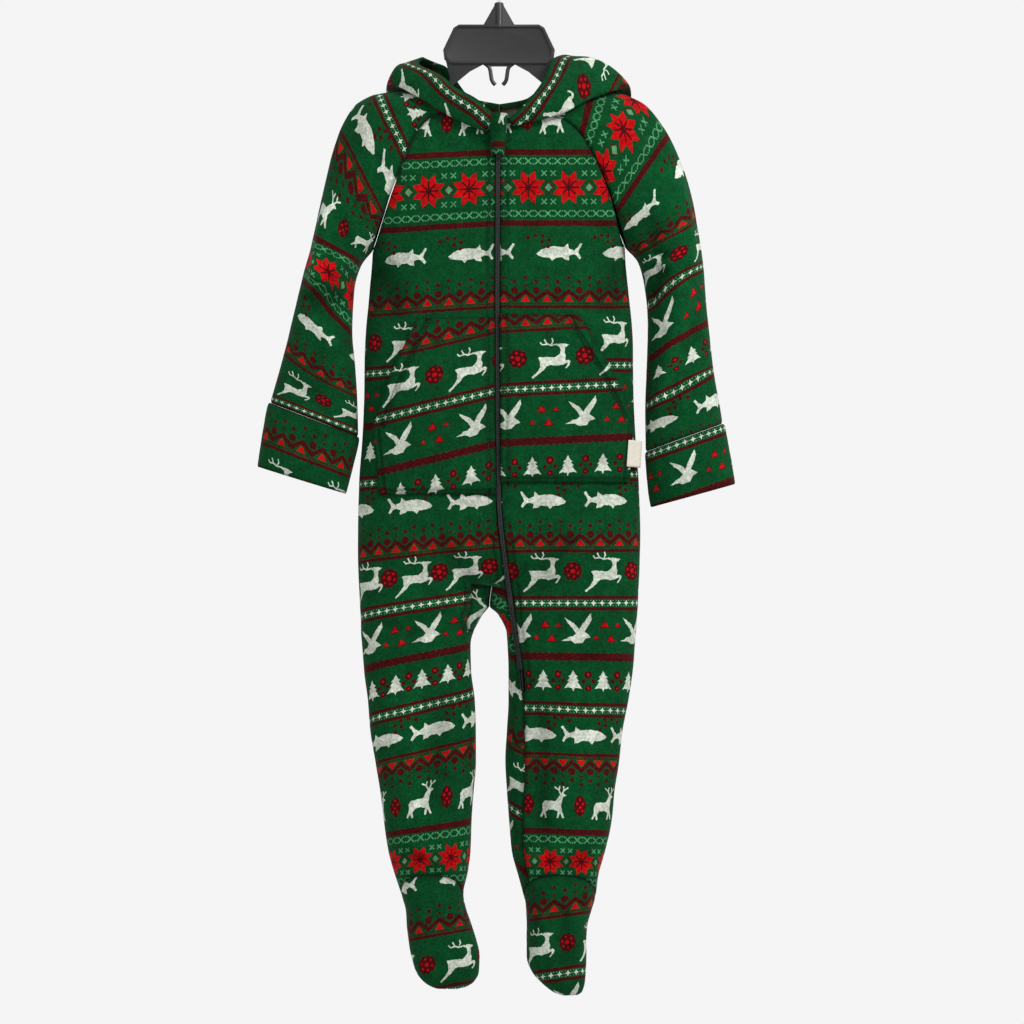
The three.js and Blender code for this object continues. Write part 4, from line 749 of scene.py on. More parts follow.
# The bands are printed above their measured places, on them, and below
BAND_SHIFTS = (-649, 0, LOOP)
BAND_REACH = 34


def printed(low, high, top, bottom, side, seed, shift=0.0):
    """The part of the print that lies between two places across and two along."""
    sheet = Print(seed)
    rows = [(kind, v + turn, facts) for turn in BAND_SHIFTS for kind, v, facts in BANDS]
    for first, cross_top, stars, cross_low, last, facts in STAR_ROWS:
        rows += [(band_line, first, {}), (band_line, last, {}), (band_crosses, cross_top, {})]
        rows += [(band_crosses, cross_low, {}), (band_stars, stars, facts)]
    for kind, place, facts in rows:
        if top - BAND_REACH < place < bottom + BAND_REACH:
            own = {
                key: value[0 if side == RIGHT else 1] if isinstance(value, tuple) else value
                for key, value in facts.items()
            }
            if "phase" in own:
                own["phase"] += shift
            kind(sheet, low, high, place, **own)
    return sheet.shapes


# ---------------------------------------------------------------------------- cut pieces
# Fields of a cut piece's table, which has a row of numbers for each of its places: the place and
# its normal, its spot on the flat print, its spot among the folds and how fully they show there,
# and the distances to the piece's four edges
PLACE, NORMAL, FLAT = slice(0, 3), slice(3, 6), slice(6, 8)
NORMAL_X, NORMAL_Y, FLAT_X, FLAT_V, FOLD_X, FOLD_Z, FADE = 3, 4, 6, 7, 8, 9, 10
NEAR_IN, NEAR_OUT, NEAR_TOP, NEAR_END, FIELDS = 11, 12, 13, 14, 15
CUTS = {}


def laid(p, out):
    """Starts a table from a grid of places: adds normals and the distances to its four edges."""
    down, across = np.gradient(p, axis=0), np.gradient(p, axis=1)
    normal = unit(np.cross(across, down)) * out
    step_f = np.linalg.norm(np.diff(p, axis=1), axis=2)
    step_g = np.linalg.norm(np.diff(p, axis=0), axis=2)
    zero_f, zero_g = np.zeros((len(p), 1)), np.zeros((1, p.shape[1]))
    run_f = np.concatenate([zero_f, np.cumsum(step_f, axis=1)], axis=1)
    run_g = np.concatenate([zero_g, np.cumsum(step_g, axis=0)], axis=0)
    table = np.zeros(p.shape[:2] + (FIELDS,))
    table[..., PLACE], table[..., NORMAL] = p, normal
    table[..., NEAR_IN], table[..., NEAR_OUT] = run_f, run_f[:, -1:] - run_f
    table[..., NEAR_TOP], table[..., NEAR_END] = run_g, run_g[-1:] - run_g
    table[..., FADE] = 1
    return table


def body_flat(table, side, base, face, v):
    """Cloth coordinates of a body piece: along its row from a fixed line, and down the print.

    Print places were measured on the middle plane, so the nearer front is scaled as the camera sees it.
    """
    x, y = base[..., 0], base[..., 1]
    step = np.hypot(np.diff(x, axis=1), np.diff(y, axis=1))
    run = np.concatenate([np.zeros((len(x), 1)), np.cumsum(step, axis=1)], axis=1)
    a = np.empty_like(x)
    for j in range(len(x)):
        across = side * x[j]
        low, high = across[0], across[-1]
        line = np.clip(FIXED_LINE, low + 0.25 * (high - low), high - 0.25 * (high - low))
        a[j] = side * (line + run[j] - np.interp(line, across, run[j]))
    nearer = CAMERA_AWAY / (CAMERA_AWAY + np.minimum(y, 0)) - 1
    table[..., FLAT_X] = a * (1 + nearer) if face == "front" else -a
    table[..., FLAT_V] = v(np.abs(a)) - (base[..., 2] - CAMERA_Z) * nearer


# How the print sags: depths below the hook, then millimetres at the middle and for each across
DROOP_DEPTH = [200, 268, 480, 560, 630, 725, 800, 880, 1000]
DROOP = {
    RIGHT: (
        [0, 0, 0, -2, -10.15, -17.8, -17.4, -4, 0],
        [0.05, 0.065, 0.065, 0.08, 0.165, 0.24, 0.22, 0.06, 0],
    ),
    LEFT: ([0] * 9, [0, 0, 0, -0.01, 0, 0.03, 0.03, 0.03, 0.03]),
}


def droop(side, z, away):
    """How far the print has sagged on the body at a height, in millimetres."""
    base, slope = (np.interp(-z, DROOP_DEPTH, column) for column in DROOP[side])
    return base + slope * away


def creases(table, folds, scale=1.0):
    p, q = table[:, FOLD_X], table[:, FOLD_Z]
    return sum(h * scale * segment_weight(p, q, x0, z0, x1, z1, w) for x0, z0, x1, z1, w, h in folds)


def soft_height(folds, seed, wave=0.45):
    """Height of the cloth over its form: its creases, and a small unevenness."""

    def height(v):
        h = creases(v, folds) * v[:, FADE] if folds else np.zeros(len(v))
        return h + wave * ripple(v[:, PLACE], 70, seed) + 0.3 * wave * ripple(v[:, PLACE], 21, seed + 1)

    return height


def groove(v, line, width):
    """How near places lie to a sewn groove, from 0 to 1."""
    field, distance, top, bottom, _ = line
    inside = (v[:, NEAR_TOP] > top) & (v[:, NEAR_TOP] < bottom)
    return inside * bell(v[:, field] - distance, width)


def grooved(height, lines):
    """Adds sewn grooves: field, distance, top and bottom as distances from the top edge, depth."""

    def both(v):
        h = height(v)
        for line in lines:
            h = h - line[-1] * groove(v, line, 1.1)
        return h

    both.lines = lines
    return both


def along_grooves(table, lines):
    """Flat places beside each sewn groove, so that the net follows it."""
    found = []
    shares = np.linspace(0.004, 0.996, 150)
    full = np.ones_like(shares)
    for field, distance, *_ in lines:
        for off in (-1.5, 0, 1.5):
            if field == NEAR_END:
                ends = read(table, np.stack([shares, full], axis=1))[:, NEAR_TOP]
                spots = np.stack([shares, 1 - (distance + off) / ends], axis=1)
            else:
                ends = read(table, np.stack([full, shares], axis=1))[:, NEAR_IN]
                at = (distance + off) / ends
                spots = np.stack([at if field == NEAR_IN else 1 - at, shares], axis=1)
            found.append(read(table, spots)[:, FLAT])
    return found


def painted_crease_shade(v, height, away):
    """Painted shade and light in the print's colours: darker in troughs and lighter on ridges, darker along
    seams and in sewn grooves.
    """
    # painted shade and light: the colour darkens in troughs and lightens on ridges with the cloth's height,
    # and darkens beside every edge and seam
    shade = clamp(1 + 0.085 * height(v), 0.45, 1.2) * (1 - 0.5 * bell(away, 2.4))
    for line in getattr(height, "lines", ()):
        # painted shade in each sewn groove
        shade = shade * (1 - 0.5 * groove(v, line, 1.5))
    return shade


def read(table, shares):
    """All fields of a table at shares f across and g down."""
    rows, columns = table.shape[:2]
    x, y = clamp(shares[:, 0]) * (columns - 1), clamp(shares[:, 1]) * (rows - 1)
    i, j = np.minimum(x.astype(int), columns - 2), np.minimum(y.astype(int), rows - 2)
    u, v = (x - i)[:, None], (y - j)[:, None]
    return mix(mix(table[j, i], table[j, i + 1], u), mix(table[j + 1, i], table[j + 1, i + 1], u), v)


class Finder:
    """Looks up where on a table a place of the flat cloth lies."""

    def __init__(self, table):
        rows, columns = table.shape[:2]
        self.rows, self.columns = rows, columns
        self.flat = table[..., FLAT].reshape(-1, 2)
        j, i = np.mgrid[0 : rows - 1, 0 : columns - 1].reshape(2, -1)
        c = j * columns + i
        first = np.stack([c, c + 1, c + columns + 1], axis=1)
        second = np.stack([c, c + columns + 1, c + columns], axis=1)
        self.faces = np.concatenate([first, second])
        self.cell = np.concatenate([np.stack([i, j], axis=1)] * 2)
        self.count = len(c)
        spots = [Vector((x, y, 0)) for x, y in self.flat]
        self.tree = BVHTree.FromPolygons(spots, self.faces.tolist(), epsilon=0.0)

    def shares(self, p):
        found = [self.tree.find_nearest(Vector((x, y, 0))) for x, y in p]
        index = np.array([f[2] for f in found])
        hit = np.array([(f[0].x, f[0].y) for f in found])
        corner = self.flat[self.faces[index]]
        e1, e2, d = corner[:, 1] - corner[:, 0], corner[:, 2] - corner[:, 0], hit - corner[:, 0]
        det = e1[:, 0] * e2[:, 1] - e1[:, 1] * e2[:, 0]
        det = np.where(np.abs(det) < 1e-12, 1e-12, det)
        s = (d[:, 0] * e2[:, 1] - d[:, 1] * e2[:, 0]) / det
        t = (d[:, 1] * e1[:, 0] - d[:, 0] * e1[:, 1]) / det
        upper = index < self.count
        cell = self.cell[index].astype(float)
        out = np.stack(
            [cell[:, 0] + np.where(upper, s + t, s), cell[:, 1] + np.where(upper, t, s + t)], axis=1
        )
        return out / [self.columns - 1, self.rows - 1]


def spread(length, step, keep=()):
    """Shares from 0 to 1 along a length, closer beside the edges, with those in keep among them."""
    near = [d for d in (0.7, 1.8, 3.4) if d < length * 0.2]
    inner = near[-1] if near else 0
    count = max(1, int(round((length - 2 * inner) / step)))
    places = [0, *near[:-1], *np.linspace(inner, length - inner, count + 1)]
    places += [length - d for d in near[:-1]] + [length]
    shares = np.unique(np.round(np.array(places) / length, 9))
    for value in keep:
        shares = shares[(np.abs(shares - value) > 1.1 / length) | (shares < 1e-9) | (shares > 1 - 1e-9)]
    return np.unique(np.concatenate([shares, np.array(keep, float)]))


def wound(start, outline):
    """Numbers of an outline's points, turned so that it runs anticlockwise."""
    after = np.roll(outline, -1, axis=0)
    area = np.sum(outline[:, 0] * after[:, 1] - after[:, 0] * outline[:, 1])
    ids = list(range(start, start + len(outline)))
    return ids if area > 0 else ids[::-1]


def ring_round(tris):
    """The loop of points round a set of triangles."""
    edges = {(t[i], t[(i + 1) % 3]) for t in tris for i in range(3)}
    after = {a: b for a, b in edges if (b, a) not in edges}
    start = at = next(iter(sorted(after)))
    loop = [start]
    while after[at] != start and len(loop) <= len(after):
        at = after[at]
        loop.append(at)
    return loop


def mended(tris, loop):
    """Triangles inside a loop, without slivers outside it and with any that were missed."""
    after = dict(zip(loop, loop[1:] + loop[:1]))
    tris = set(tris)
    for _ in range(8):
        owner = {(tri[i], tri[(i + 1) % 3]): tri for tri in tris for i in range(3)}
        stray = [(a, c) for a, c in owner if (c, a) not in owner and after.get(a) != c]
        if not stray:
            break
        for a, c in stray:
            b = after.get(a)
            if after.get(b) == c and (a, b) not in owner and (b, c) not in owner:
                tris.add((a, b, c))
            else:
                tris.discard(owner[a, c])
    return sorted(tris)


def net(table, step, keep_g=()):
    """A net of flat places over a table: its border as a loop, and the places inside it."""
    wide, long = np.mean(table[:, -1, NEAR_IN]), np.mean(table[-1, :, NEAR_TOP])
    fs, gs = spread(wide, step), spread(long, step, keep_g)
    f, g = np.meshgrid(fs, gs)
    flat = read(table[..., FLAT], np.stack([f.ravel(), g.ravel()], axis=1))
    index = np.arange(f.size).reshape(f.shape)
    loop = np.concatenate([index[0, :-1], index[:-1, -1], index[-1, :0:-1], index[:0:-1, 0]])
    return flat[loop], flat[index[1:-1, 1:-1].ravel()]


# Sides of the triangles of a lining, the depth of a seam and of a cut edge's rounding, and a
# distance that is far from any edge
LINING_NET = 7
SEAM_DIP, EDGE_ROUND = 0.7, 0.6
FAR = 99.0


def shown(name, data):
    """A new object in the scene."""
    piece = bpy.data.objects.new(name, data)
    bpy.context.scene.collection.objects.link(piece)
    return piece


def cut_print(table, height, side, seed, step, keep_g, shift):
    """The outer side of a cut piece laid flat: its places, its triangles and the colour of each."""
    across, down = table[..., FLAT_X], table[..., FLAT_V]
    shapes = printed(across.min(), across.max(), down.min(), down.max(), side, seed, shift)
    border, inside = net(table, step, keep_g)
    inside = np.concatenate([inside, *along_grooves(table, getattr(height, "lines", ()))])
    spots = [*border, *inside]
    polygons, colours = [wound(0, border)], [GREEN]
    low, high = border.min(axis=0) - 1, border.max(axis=0) + 1
    for outline, colour in shapes:
        if np.all(outline.max(axis=0) > low) and np.all(outline.min(axis=0) < high):
            polygons.append(wound(len(spots), outline))
            spots.extend(outline)
            colours.append(colour)
    cut = delaunay_2d_cdt([Vector(p) for p in spots], [], polygons, 1, 1e-4, True)
    kept = [(tri, max(home)) for tri, home in zip(cut[2], cut[5]) if 0 in home]
    used = sorted({v for tri, _ in kept for v in tri})
    number = dict(zip(used, range(len(used))))
    flat = np.array([tuple(cut[0][v]) for v in used])
    tris = [tuple(number[v] for v in tri) for tri, _ in kept]
    return flat, tris, np.array([colours[home] for _, home in kept])


def cut_lining(table, flat, rim):
    """The inner side laid flat within the outer side's rim: places, triangles, the rim's numbers."""
    _, deep = net(table, LINING_NET)
    spots = [Vector(p) for p in [*flat[rim], *deep]]
    back = delaunay_2d_cdt(spots, [], [wound(0, flat[rim])], 1, 1e-4, True)
    home = {source: new for new, sources in enumerate(back[3]) for source in sources}
    within = [tuple(tri) for tri, owners in zip(back[2], back[5]) if owners]
    ends = [home[i] for i in range(len(rim))]
    return np.array([tuple(p) for p in back[0]]), mended(within, ends), ends


def lining_colours(flat, tris, tri_colour, back_flat, palette):
    """Colours of the inner side, where the print shows through, blurred and greener."""
    seen = BVHTree.FromPolygons([Vector((x, y, 0)) for x, y in flat], tris, epsilon=0.0)
    lining = np.zeros((len(back_flat), 4))
    for dx, dy in ((0, 0), (2, 1), (-2, -1)):
        near = [seen.find_nearest(Vector((x + dx, y + dy, 0)))[2] for x, y in back_flat]
        lining += palette[tri_colour[near]] / 3
    return mix(lining, palette[GREEN], 0.3)


def cloth(name, height, side, seed, step, thick=2.1, joined=False, free=(), keep_g=(), shift=0.0):
    """Makes a cut piece from its table in CUTS, with the print cut into its outer side.

    joined says that its two side edges meet, free names the distance fields of its unsewn edges,
    and shift moves the print across.
    """
    table = CUTS[name]
    finder = Finder(table)
    flat, tris, tri_colour = cut_print(table, height, side, seed, step, keep_g, shift)
    rim = ring_round(tris)
    back_flat, back_tris, ends = cut_lining(table, flat, rim)

    def from_edge(v):
        to_side = np.full(len(v), FAR) if joined else np.minimum(v[:, NEAR_IN], v[:, NEAR_OUT])
        return np.minimum(to_side, np.minimum(v[:, NEAR_TOP], v[:, NEAR_END]))

    def raised(v, lining):
        away = from_edge(v)
        sewn = np.ones(len(v))
        for field in free:
            sewn = sewn * (1 - bell(v[:, field], 4))
        dip = bell(away, 2.3) * SEAM_DIP * sewn
        corner = bell(away, 0.9) * EDGE_ROUND
        lift = height(v) - dip - (thick - corner if lining else corner)
        p = v[:, PLACE] + v[:, NORMAL] * lift[:, None]
        if name.startswith(("hood", "back")):
            beside = np.abs(p[:, 0]) < CENTRE_SEAM
            p[beside, 0] *= (p[beside, 0] / CENTRE_SEAM) ** 2
        return p

    outer = read(table, finder.shares(flat))
    inner = read(table, finder.shares(back_flat))
    front, behind = raised(outer, False), raised(inner, True)
    start = len(front)
    faces = list(tris) + [tuple(start + v for v in tri[::-1]) for tri in back_tris]
    kinds = [0] * len(tris) + [1] * len(back_tris)
    for p, q, pi, qi in zip(rim, np.roll(rim, -1), range(len(rim)), np.roll(range(len(rim)), -1)):
        if ends[pi] != ends[qi]:
            faces.append((int(q), int(p), start + ends[pi], start + ends[qi]))
            kinds.append(1)
    t = np.array(tris)
    crossed = np.cross(front[t[:, 1]] - front[t[:, 0]], front[t[:, 2]] - front[t[:, 0]])
    if np.sum(crossed * outer[t[:, 0]][:, NORMAL]) < 0:
        faces = [face[::-1] for face in faces]

    mesh = bpy.data.meshes.new(name)
    mesh.from_pydata((np.concatenate([front, behind]) * MM).tolist(), [], faces)
    mesh.polygons.foreach_set("material_index", kinds)
    palette = np.array(print_colours())
    lining = lining_colours(flat, tris, tri_colour, back_flat, palette)
    corner_at = np.zeros(len(mesh.loops), int)
    mesh.loops.foreach_get("vertex_index", corner_at)
    values = np.tile(palette[GREEN], (len(corner_at), 1))
    # painted shade and light of troughs, ridges, seams and grooves, multiplied into the outer side's print
    # colours
    shade = painted_crease_shade(outer, height, from_edge(outer))
    outside = 3 * len(tris)
    values[:outside] = np.repeat(palette[tri_colour], 3, axis=0)
    values[:outside, :3] *= shade[corner_at[:outside]][:, None]
    rest = corner_at[outside:]
    values[outside:][rest >= start] = lining[rest[rest >= start] - start]
    # the print attribute holds the print's colours with this painted shade in them
    mesh.attributes.new("print", "FLOAT_COLOR", "CORNER").data.foreach_set("color", values.ravel())
    flat_all = np.concatenate([flat, back_flat]) * MM
    mesh.uv_layers.new(name="cloth").data.foreach_set("uv", flat_all[corner_at].ravel())
    mesh.shade_smooth()
    mesh.materials.append(fleece("printed_fleece", 1.0))
    mesh.materials.append(fleece("fleece_lining", 0.8))
    piece = shown(name + "_cloth", mesh)
    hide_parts(name)
    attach(piece, "garment")
    return piece


# ---------------------------------------------------------------------------- tables of the pieces
def leg_end(face, u):
    """Height of the seam over the foot: curved over the instep, level behind."""
    if face == "back":
        return np.full(np.shape(u), SOLE_TOP_Z)
    return mix(VAMP_TOP_Z, SOLE_TOP_Z, (2 * u - 1) ** 2)


def front_inner(side, z):
    slot = np.where(z > ZIP_END_Z, ZIP_HALF_SLOT, SEAM / 2)
    if side == LEFT:
        return signed_at_x("front", zip_x(z) + slot, z)
    above = signed_at_x("front", zip_x(z) - slot, z)
    start = body_base(RIGHT, "front", 0.0, z)[..., 0] - GUSSET_RIGHT.at("width", z, "z") - SEAM
    beside = signed_at_x("front", start, z)
    return np.where(z > GUSSET_TOP_Z, above, np.where(z > GUSSET_RIGHT_END_Z, beside, 0.0))


STEP_EDGES = [
    GUSSET_TOP_Z + SEAM / 2, GUSSET_TOP_Z - SEAM / 2, GUSSET_RIGHT_END_Z + SEAM / 2,
    GUSSET_RIGHT_END_Z - SEAM / 2, ZIP_END_Z + 1, ZIP_END_Z - 1,
]
YOKE_STEPS, BODY_ROWS, END_ROWS, ACROSS = 32, 224, 14, 72


def body_panel(side, face, name):
    """Table of a front or back, from the neck seam to the seam over the foot."""
    f = np.linspace(0, 1, ACROSS + 1)[None, :]
    k = np.linspace(0, UNDERARM_ROW, YOKE_STEPS + 1)[:, None]
    middle_z = mix(NECK_FRONT_Z, RAGLANS[side].end("frontZ"), k / UNDERARM_ROW)
    inner_x = zip_x(middle_z) + side * ZIP_HALF_SLOT if face == "front" else 0 * k
    reach = clamp(side * inner_x / (side * RAGLANS[side].at(face + "X", k)))
    start = 2 / math.pi * np.arcsin(reach ** (BODY_SQUARE / 2))
    yoke = yoke_point(side, face, mix(start, 1, f), k + 0 * f)
    trim = f**4 - ((1 - f) ** 8 if face == "back" else 0)
    yoke[..., 0] -= side * SEAM / 2 * trim

    z = np.unique(np.concatenate([np.linspace(ANKLE_Z, FIRST_BODY_Z, BODY_ROWS), STEP_EDGES]))[::-1]
    z = np.concatenate([z, np.full(END_ROWS, ANKLE_Z)])[:, None]
    share = np.concatenate([np.zeros(len(z) - END_ROWS), np.linspace(0, 1, END_ROWS + 1)[1:]])[:, None]
    inner = front_inner(side, z) if face == "front" else 0 * z
    s = mix(inner, side, f)
    heights = mix(z, leg_end(face, np.abs(s)) + SEAM / 2, share)
    lower = body_at(face, s, heights, side)
    if face == "back":
        lower[..., 0] += side * SEAM / 2 * (1 - f) ** 8 * (heights >= CROTCH_Z)
    base = np.concatenate([yoke, lower])
    base[..., 1] += face_sign(face) * SEAM / 2
    table = laid(base, -side if face == "front" else side)
    if face == "back":
        table[:, 0, NORMAL_X] = 0
    level = base[..., 2]
    body_flat(table, side, base, face, lambda away: PRINT_TOP_Z - level - droop(side, level, away))
    table[..., FOLD_X], table[..., FOLD_Z] = base[..., 0], base[..., 2]
    u = np.concatenate([0.5 + 0 * k + 0 * f, np.abs(s)])
    table[..., FADE] = smooth(np.minimum(u, 1 - u) * 8)
    CUTS[name] = table
    rows = len(table) - 1
    return [
        (YOKE_STEPS + 1 + int(np.argmin(np.abs(z[:, 0] - edge)))) / rows for edge in STEP_EDGES[:4]
    ]


def gusset_strip(side, name, last_z, turn):
    first = GUSSET_TOP_Z - SEAM / 2
    z = np.linspace(first, last_z, int((first - last_z) / 2.4) + 2)[:, None]
    share = np.zeros((len(z), 1))
    if side == LEFT:
        z = np.concatenate([z, np.full((END_ROWS, 1), last_z)])
        share = np.concatenate([share, np.linspace(0, 1, END_ROWS + 1)[1:, None]])
        slot = np.where(z > ZIP_END_Z, ZIP_HALF_SLOT, SEAM / 2)
        end = u_at_x(LEFT, "front", zip_x(z) - slot, z)
    else:
        middle = body_base(RIGHT, "front", 0.0, z)[..., 0]
        end = u_at_x(RIGHT, "front", middle - GUSSET_RIGHT.at("width", z, "z"), z)
    f = np.linspace(0, 1, 25)[None, :]
    u = end * f
    heights = mix(z, leg_end("front", u) + SEAM / 2, share)
    base = body_base(side, "front", u, heights)
    base[..., 0] += (heights > CROTCH_Z) * side * SEAM / 2 * (1 - f)
    base[..., 1] -= SEAM / 2
    table = laid(base, -side)
    a, b = side * table[..., NEAR_IN], -base[..., 2]
    c, s = math.cos(turn), math.sin(turn)
    table[..., FLAT_X], table[..., FLAT_V] = a * c - b * s, a * s + b * c
    table[..., FOLD_X], table[..., FOLD_Z] = base[..., 0], base[..., 2]
    CUTS[name] = table


# The print's first line on each foot, how steeply it runs, and from which place across
FOOT_PRINT = {RIGHT: (-938.7, 0.182, -18), LEFT: (-932, 0.139, 27.2)}


def foot_piece(side, face, name):
    f = np.linspace(0, 1, 61)[None, :]
    g = np.linspace(0, 1, 41)[:, None]
    top = leg_end(face, f) - SEAM / 2
    heights = mix(top, LEGS[side].end("z"), np.sin(g * math.pi / 2))
    base = body_base(side, face, f + 0 * g, heights)
    base[..., 1] += face_sign(face) * SEAM / 2
    table = laid(base, -side if face == "front" else side)
    first, slope, start = FOOT_PRINT[side]
    lean = first + slope * (base[..., 0] - start)
    body_flat(table, side, base, face, lambda away: 81 + LOOP + lean - base[..., 2])
    table[..., FOLD_X], table[..., FOLD_Z] = base[..., 0], base[..., 2]
    table[..., FADE] = smooth(np.minimum(f, 1 - f) * 8 + 0 * g)
    CUTS[name] = table


# Where the print lies along a sleeve: places from 0 to 1, then millimetres of print on the
# outer ridge and on the seam
SLEEVE_PRINT = {
    LEFT: (
        [0, 0.062, 0.242, 0.45, 0.54, 0.632, 0.725, 0.845, 1], [-92, -67.5, 0, 112, 135, 158, 185, 245, 292],
        [0, 0.1125, 0.3375, 0.45, 0.54, 0.685, 0.796, 0.841, 1], [-103, -67.5, 0, 60, 88, 135, 185, 218, 292],
    ),
    RIGHT: (
        [0, 0.118, 0.236, 0.45, 0.6, 0.7, 0.805, 1], [410, 460, 505, 590, 633, 665, 714, 775],
        [0, 0.1716, 0.3375, 0.45, 0.54, 0.66, 0.735, 0.85, 1], [400, 460, 505, 555, 577, 605, 633, 690, 775],
    ),
}


def sleeve_piece(side, name):
    at = np.linspace(0, 1, 161)[:, None]
    share = np.linspace(1, -1, 97)[None, :]
    at, share = np.broadcast_arrays(at, share)
    base = sleeve_base(side, at, share)
    edge = np.abs(share) ** 12
    on_seam = at < UNDERARM_AT + 0.001
    base[..., 0] += np.where(on_seam, side * 0.25 * edge, 0)
    base[..., 1] -= np.where(on_seam, 0, np.sign(share) * SEAM / 2 * edge)
    table = laid(base, -side)
    seam_turn = seam_turn_at(side, at)
    turn = share * seam_turn
    reach = (1 - np.cos(np.radians(turn))) / (1 - np.cos(np.radians(seam_turn)))
    ridge_at, ridge, seam_at, seam = SLEEVE_PRINT[side]
    table[..., FLAT_V] = mix(np.interp(at, ridge_at, ridge), np.interp(at, seam_at, seam), reach)
    middle = table[:, share.shape[1] // 2, NEAR_IN][:, None]
    table[..., FLAT_X] = side * (table[..., NEAR_IN] - middle)
    table[..., FOLD_X], table[..., FOLD_Z] = at * SLEEVE_LENGTH, turn * SLEEVE_GIRTH
    table[..., FADE] = smooth((1 - np.abs(share)) * 6)
    CUTS[name] = table


# Where the print begins on a cuff, and the column of its table on the outer ridge
CUFF_PRINT = {RIGHT: 41, LEFT: 131}
CUFF_RIDGE = 40


def cuff_piece(side, name):
    g = np.linspace(0, 1, 31)[:, None]
    turn = np.linspace(-150, 210, 97)[None, :]
    g, turn = np.broadcast_arrays(g, turn)
    base = ring_point(CUFFS[side], g, turn)
    table = laid(base, side)
    table[..., FLAT_X] = -side * (table[..., NEAR_IN] - table[:, CUFF_RIDGE, NEAR_IN][:, None])
    table[..., FLAT_V] = table[..., NEAR_TOP] + CUFF_PRINT[side]
    table[..., FOLD_X], table[..., FOLD_Z] = turn, g
    CUTS[name] = table


def hood_piece(side, name):
    last = HOOD_STATIONS * 0.999
    stations = np.linspace(0, last, 81)
    t = np.linspace(0, 1, 111)
    p = np.zeros((len(t), len(stations), 3))
    for i, station in enumerate(stations):
        line = hood_line(side, station)
        p[:, i] = [spline(line, share) for share in t]
    f = (stations / last)[None, :]
    p[..., 0] += side * (SEAM / 2 + 0.05) * f**16
    table = laid(p, side)
    table[:, -1, NORMAL_X] = 0
    table[..., FLAT_X] = side * table[..., NEAR_IN]
    table[..., FLAT_V] = 147 - table[..., NEAR_END]
    table[..., FOLD_X], table[..., FOLD_Z] = table[..., NEAR_IN], table[..., NEAR_END]
    CUTS[name] = table


# How much lower the print lies on the pocket, and how it slopes there
POCKET_PRINT = 24.2
POCKET_SLOPE = {RIGHT: 0.25, LEFT: -0.05}


def pocket_piece(side, name):
    heights, widths = POCKETS[side]
    g, f = np.meshgrid(np.linspace(0, 1, 61), np.linspace(0, 1, 61), indexing="ij")
    z = mix(heights[0], heights[2], g)
    slant = clamp((z - heights[0]) / (heights[1] - heights[0]))
    straight = clamp((z - heights[1]) / (heights[2] - heights[1]))
    reach = mix(mix(widths[0], widths[1], slant), widths[2], straight)
    x = zip_x(z) + side * mix(ZIP_HALF_SLOT, reach, f)
    gape = np.sin(math.pi * slant) * f**3 * POCKET_GAPE
    full = np.sin(math.pi * f) * np.sin(math.pi * g) * POCKET_LIFT
    s = signed_at_x("front", x, z)
    under = body_at("front", s, z)
    way = laid(under, -side)[..., NORMAL]
    p = under + way * (POCKET_REST + FLEECE + gape + full)[..., None]
    p[..., 1] -= SEAM / 2
    table = laid(p, -side)
    sunk = POCKET_SLOPE[side] * np.abs(x - zip_x(z))
    body_flat(table, side, under, "front", lambda away: PRINT_TOP_Z - z - POCKET_PRINT - sunk)
    table[..., FOLD_X], table[..., FOLD_Z] = under[..., 0], under[..., 2]
    CUTS[name] = table


def front_surface(x, z):
    """The front's outer place at a height and a distance across."""
    x, z = np.broadcast_arrays(np.asarray(x, float), np.asarray(z, float))
    return body_at("front", signed_at_x("front", x, z), z)


# ---------------------------------------------------------------------------- settings
def rgb(*screen):
    """Linear colour of a screen colour given from 0 to 255."""
    shares = [c / 255 for c in screen]
    return tuple(c / 12.92 if c <= 0.04045 else ((c + 0.055) / 1.055) ** 2.4 for c in shares)


def colour_setting(name, description, screen):
    return bpy.props.FloatVectorProperty(
        name=name, description=description, subtype="COLOR", size=3, min=0, max=1, default=rgb(*screen)
    )


class PajamaCloth(bpy.types.PropertyGroup):
    ground: colour_setting("Ground green", "Colour between the motifs", (1, 57, 25))
    dark_red: colour_setting("Dark red", "Colour of stripes, dots and outlines", (58, 3, 6))
    bright_red: colour_setting("Bright red", "Colour of petals and triangles", (156, 2, 8))
    white: colour_setting("White", "Colour of animals and trees", (170, 176, 164))
    pale_green: colour_setting("Pale green", "Colour of crosses and small diamonds", (66, 122, 82))
    label: colour_setting("Label cream", "Colour of the blank labels", (186, 180, 166))
    thread: colour_setting("Thread green", "Colour of the sewing thread", (4, 42, 22))
    nap: bpy.props.FloatProperty(
        name="Nap depth", description="Depth of the brushed pile", unit="LENGTH", default=0.0011, min=0
    )
    stitch: bpy.props.FloatProperty(
        name="Stitch pitch", description="From one stitch to the next", unit="LENGTH", default=0.0036,
        min=0.001,
    )
    net: bpy.props.FloatProperty(
        name="Cloth net", description="Side of the cloth's net between motifs", unit="LENGTH", default=0.0034,
        min=0.002,
    )


class PajamaFittings(bpy.types.PropertyGroup):
    zip_black: colour_setting("Zip black", "Colour of the coil and slider", (12, 20, 16))
    plastic: colour_setting("Hanger black", "Colour of the hanger's plastic", (20, 20, 22))
    tooth_pitch: bpy.props.FloatProperty(
        name="Tooth pitch", description="From one turn of the coil to the next", unit="LENGTH",
        default=0.0015, min=0.0008,
    )
    edge: bpy.props.FloatProperty(
        name="Moulded edge", description="Roundness of the hanger's edges", unit="LENGTH",
        default=0.0006, min=0,
    )


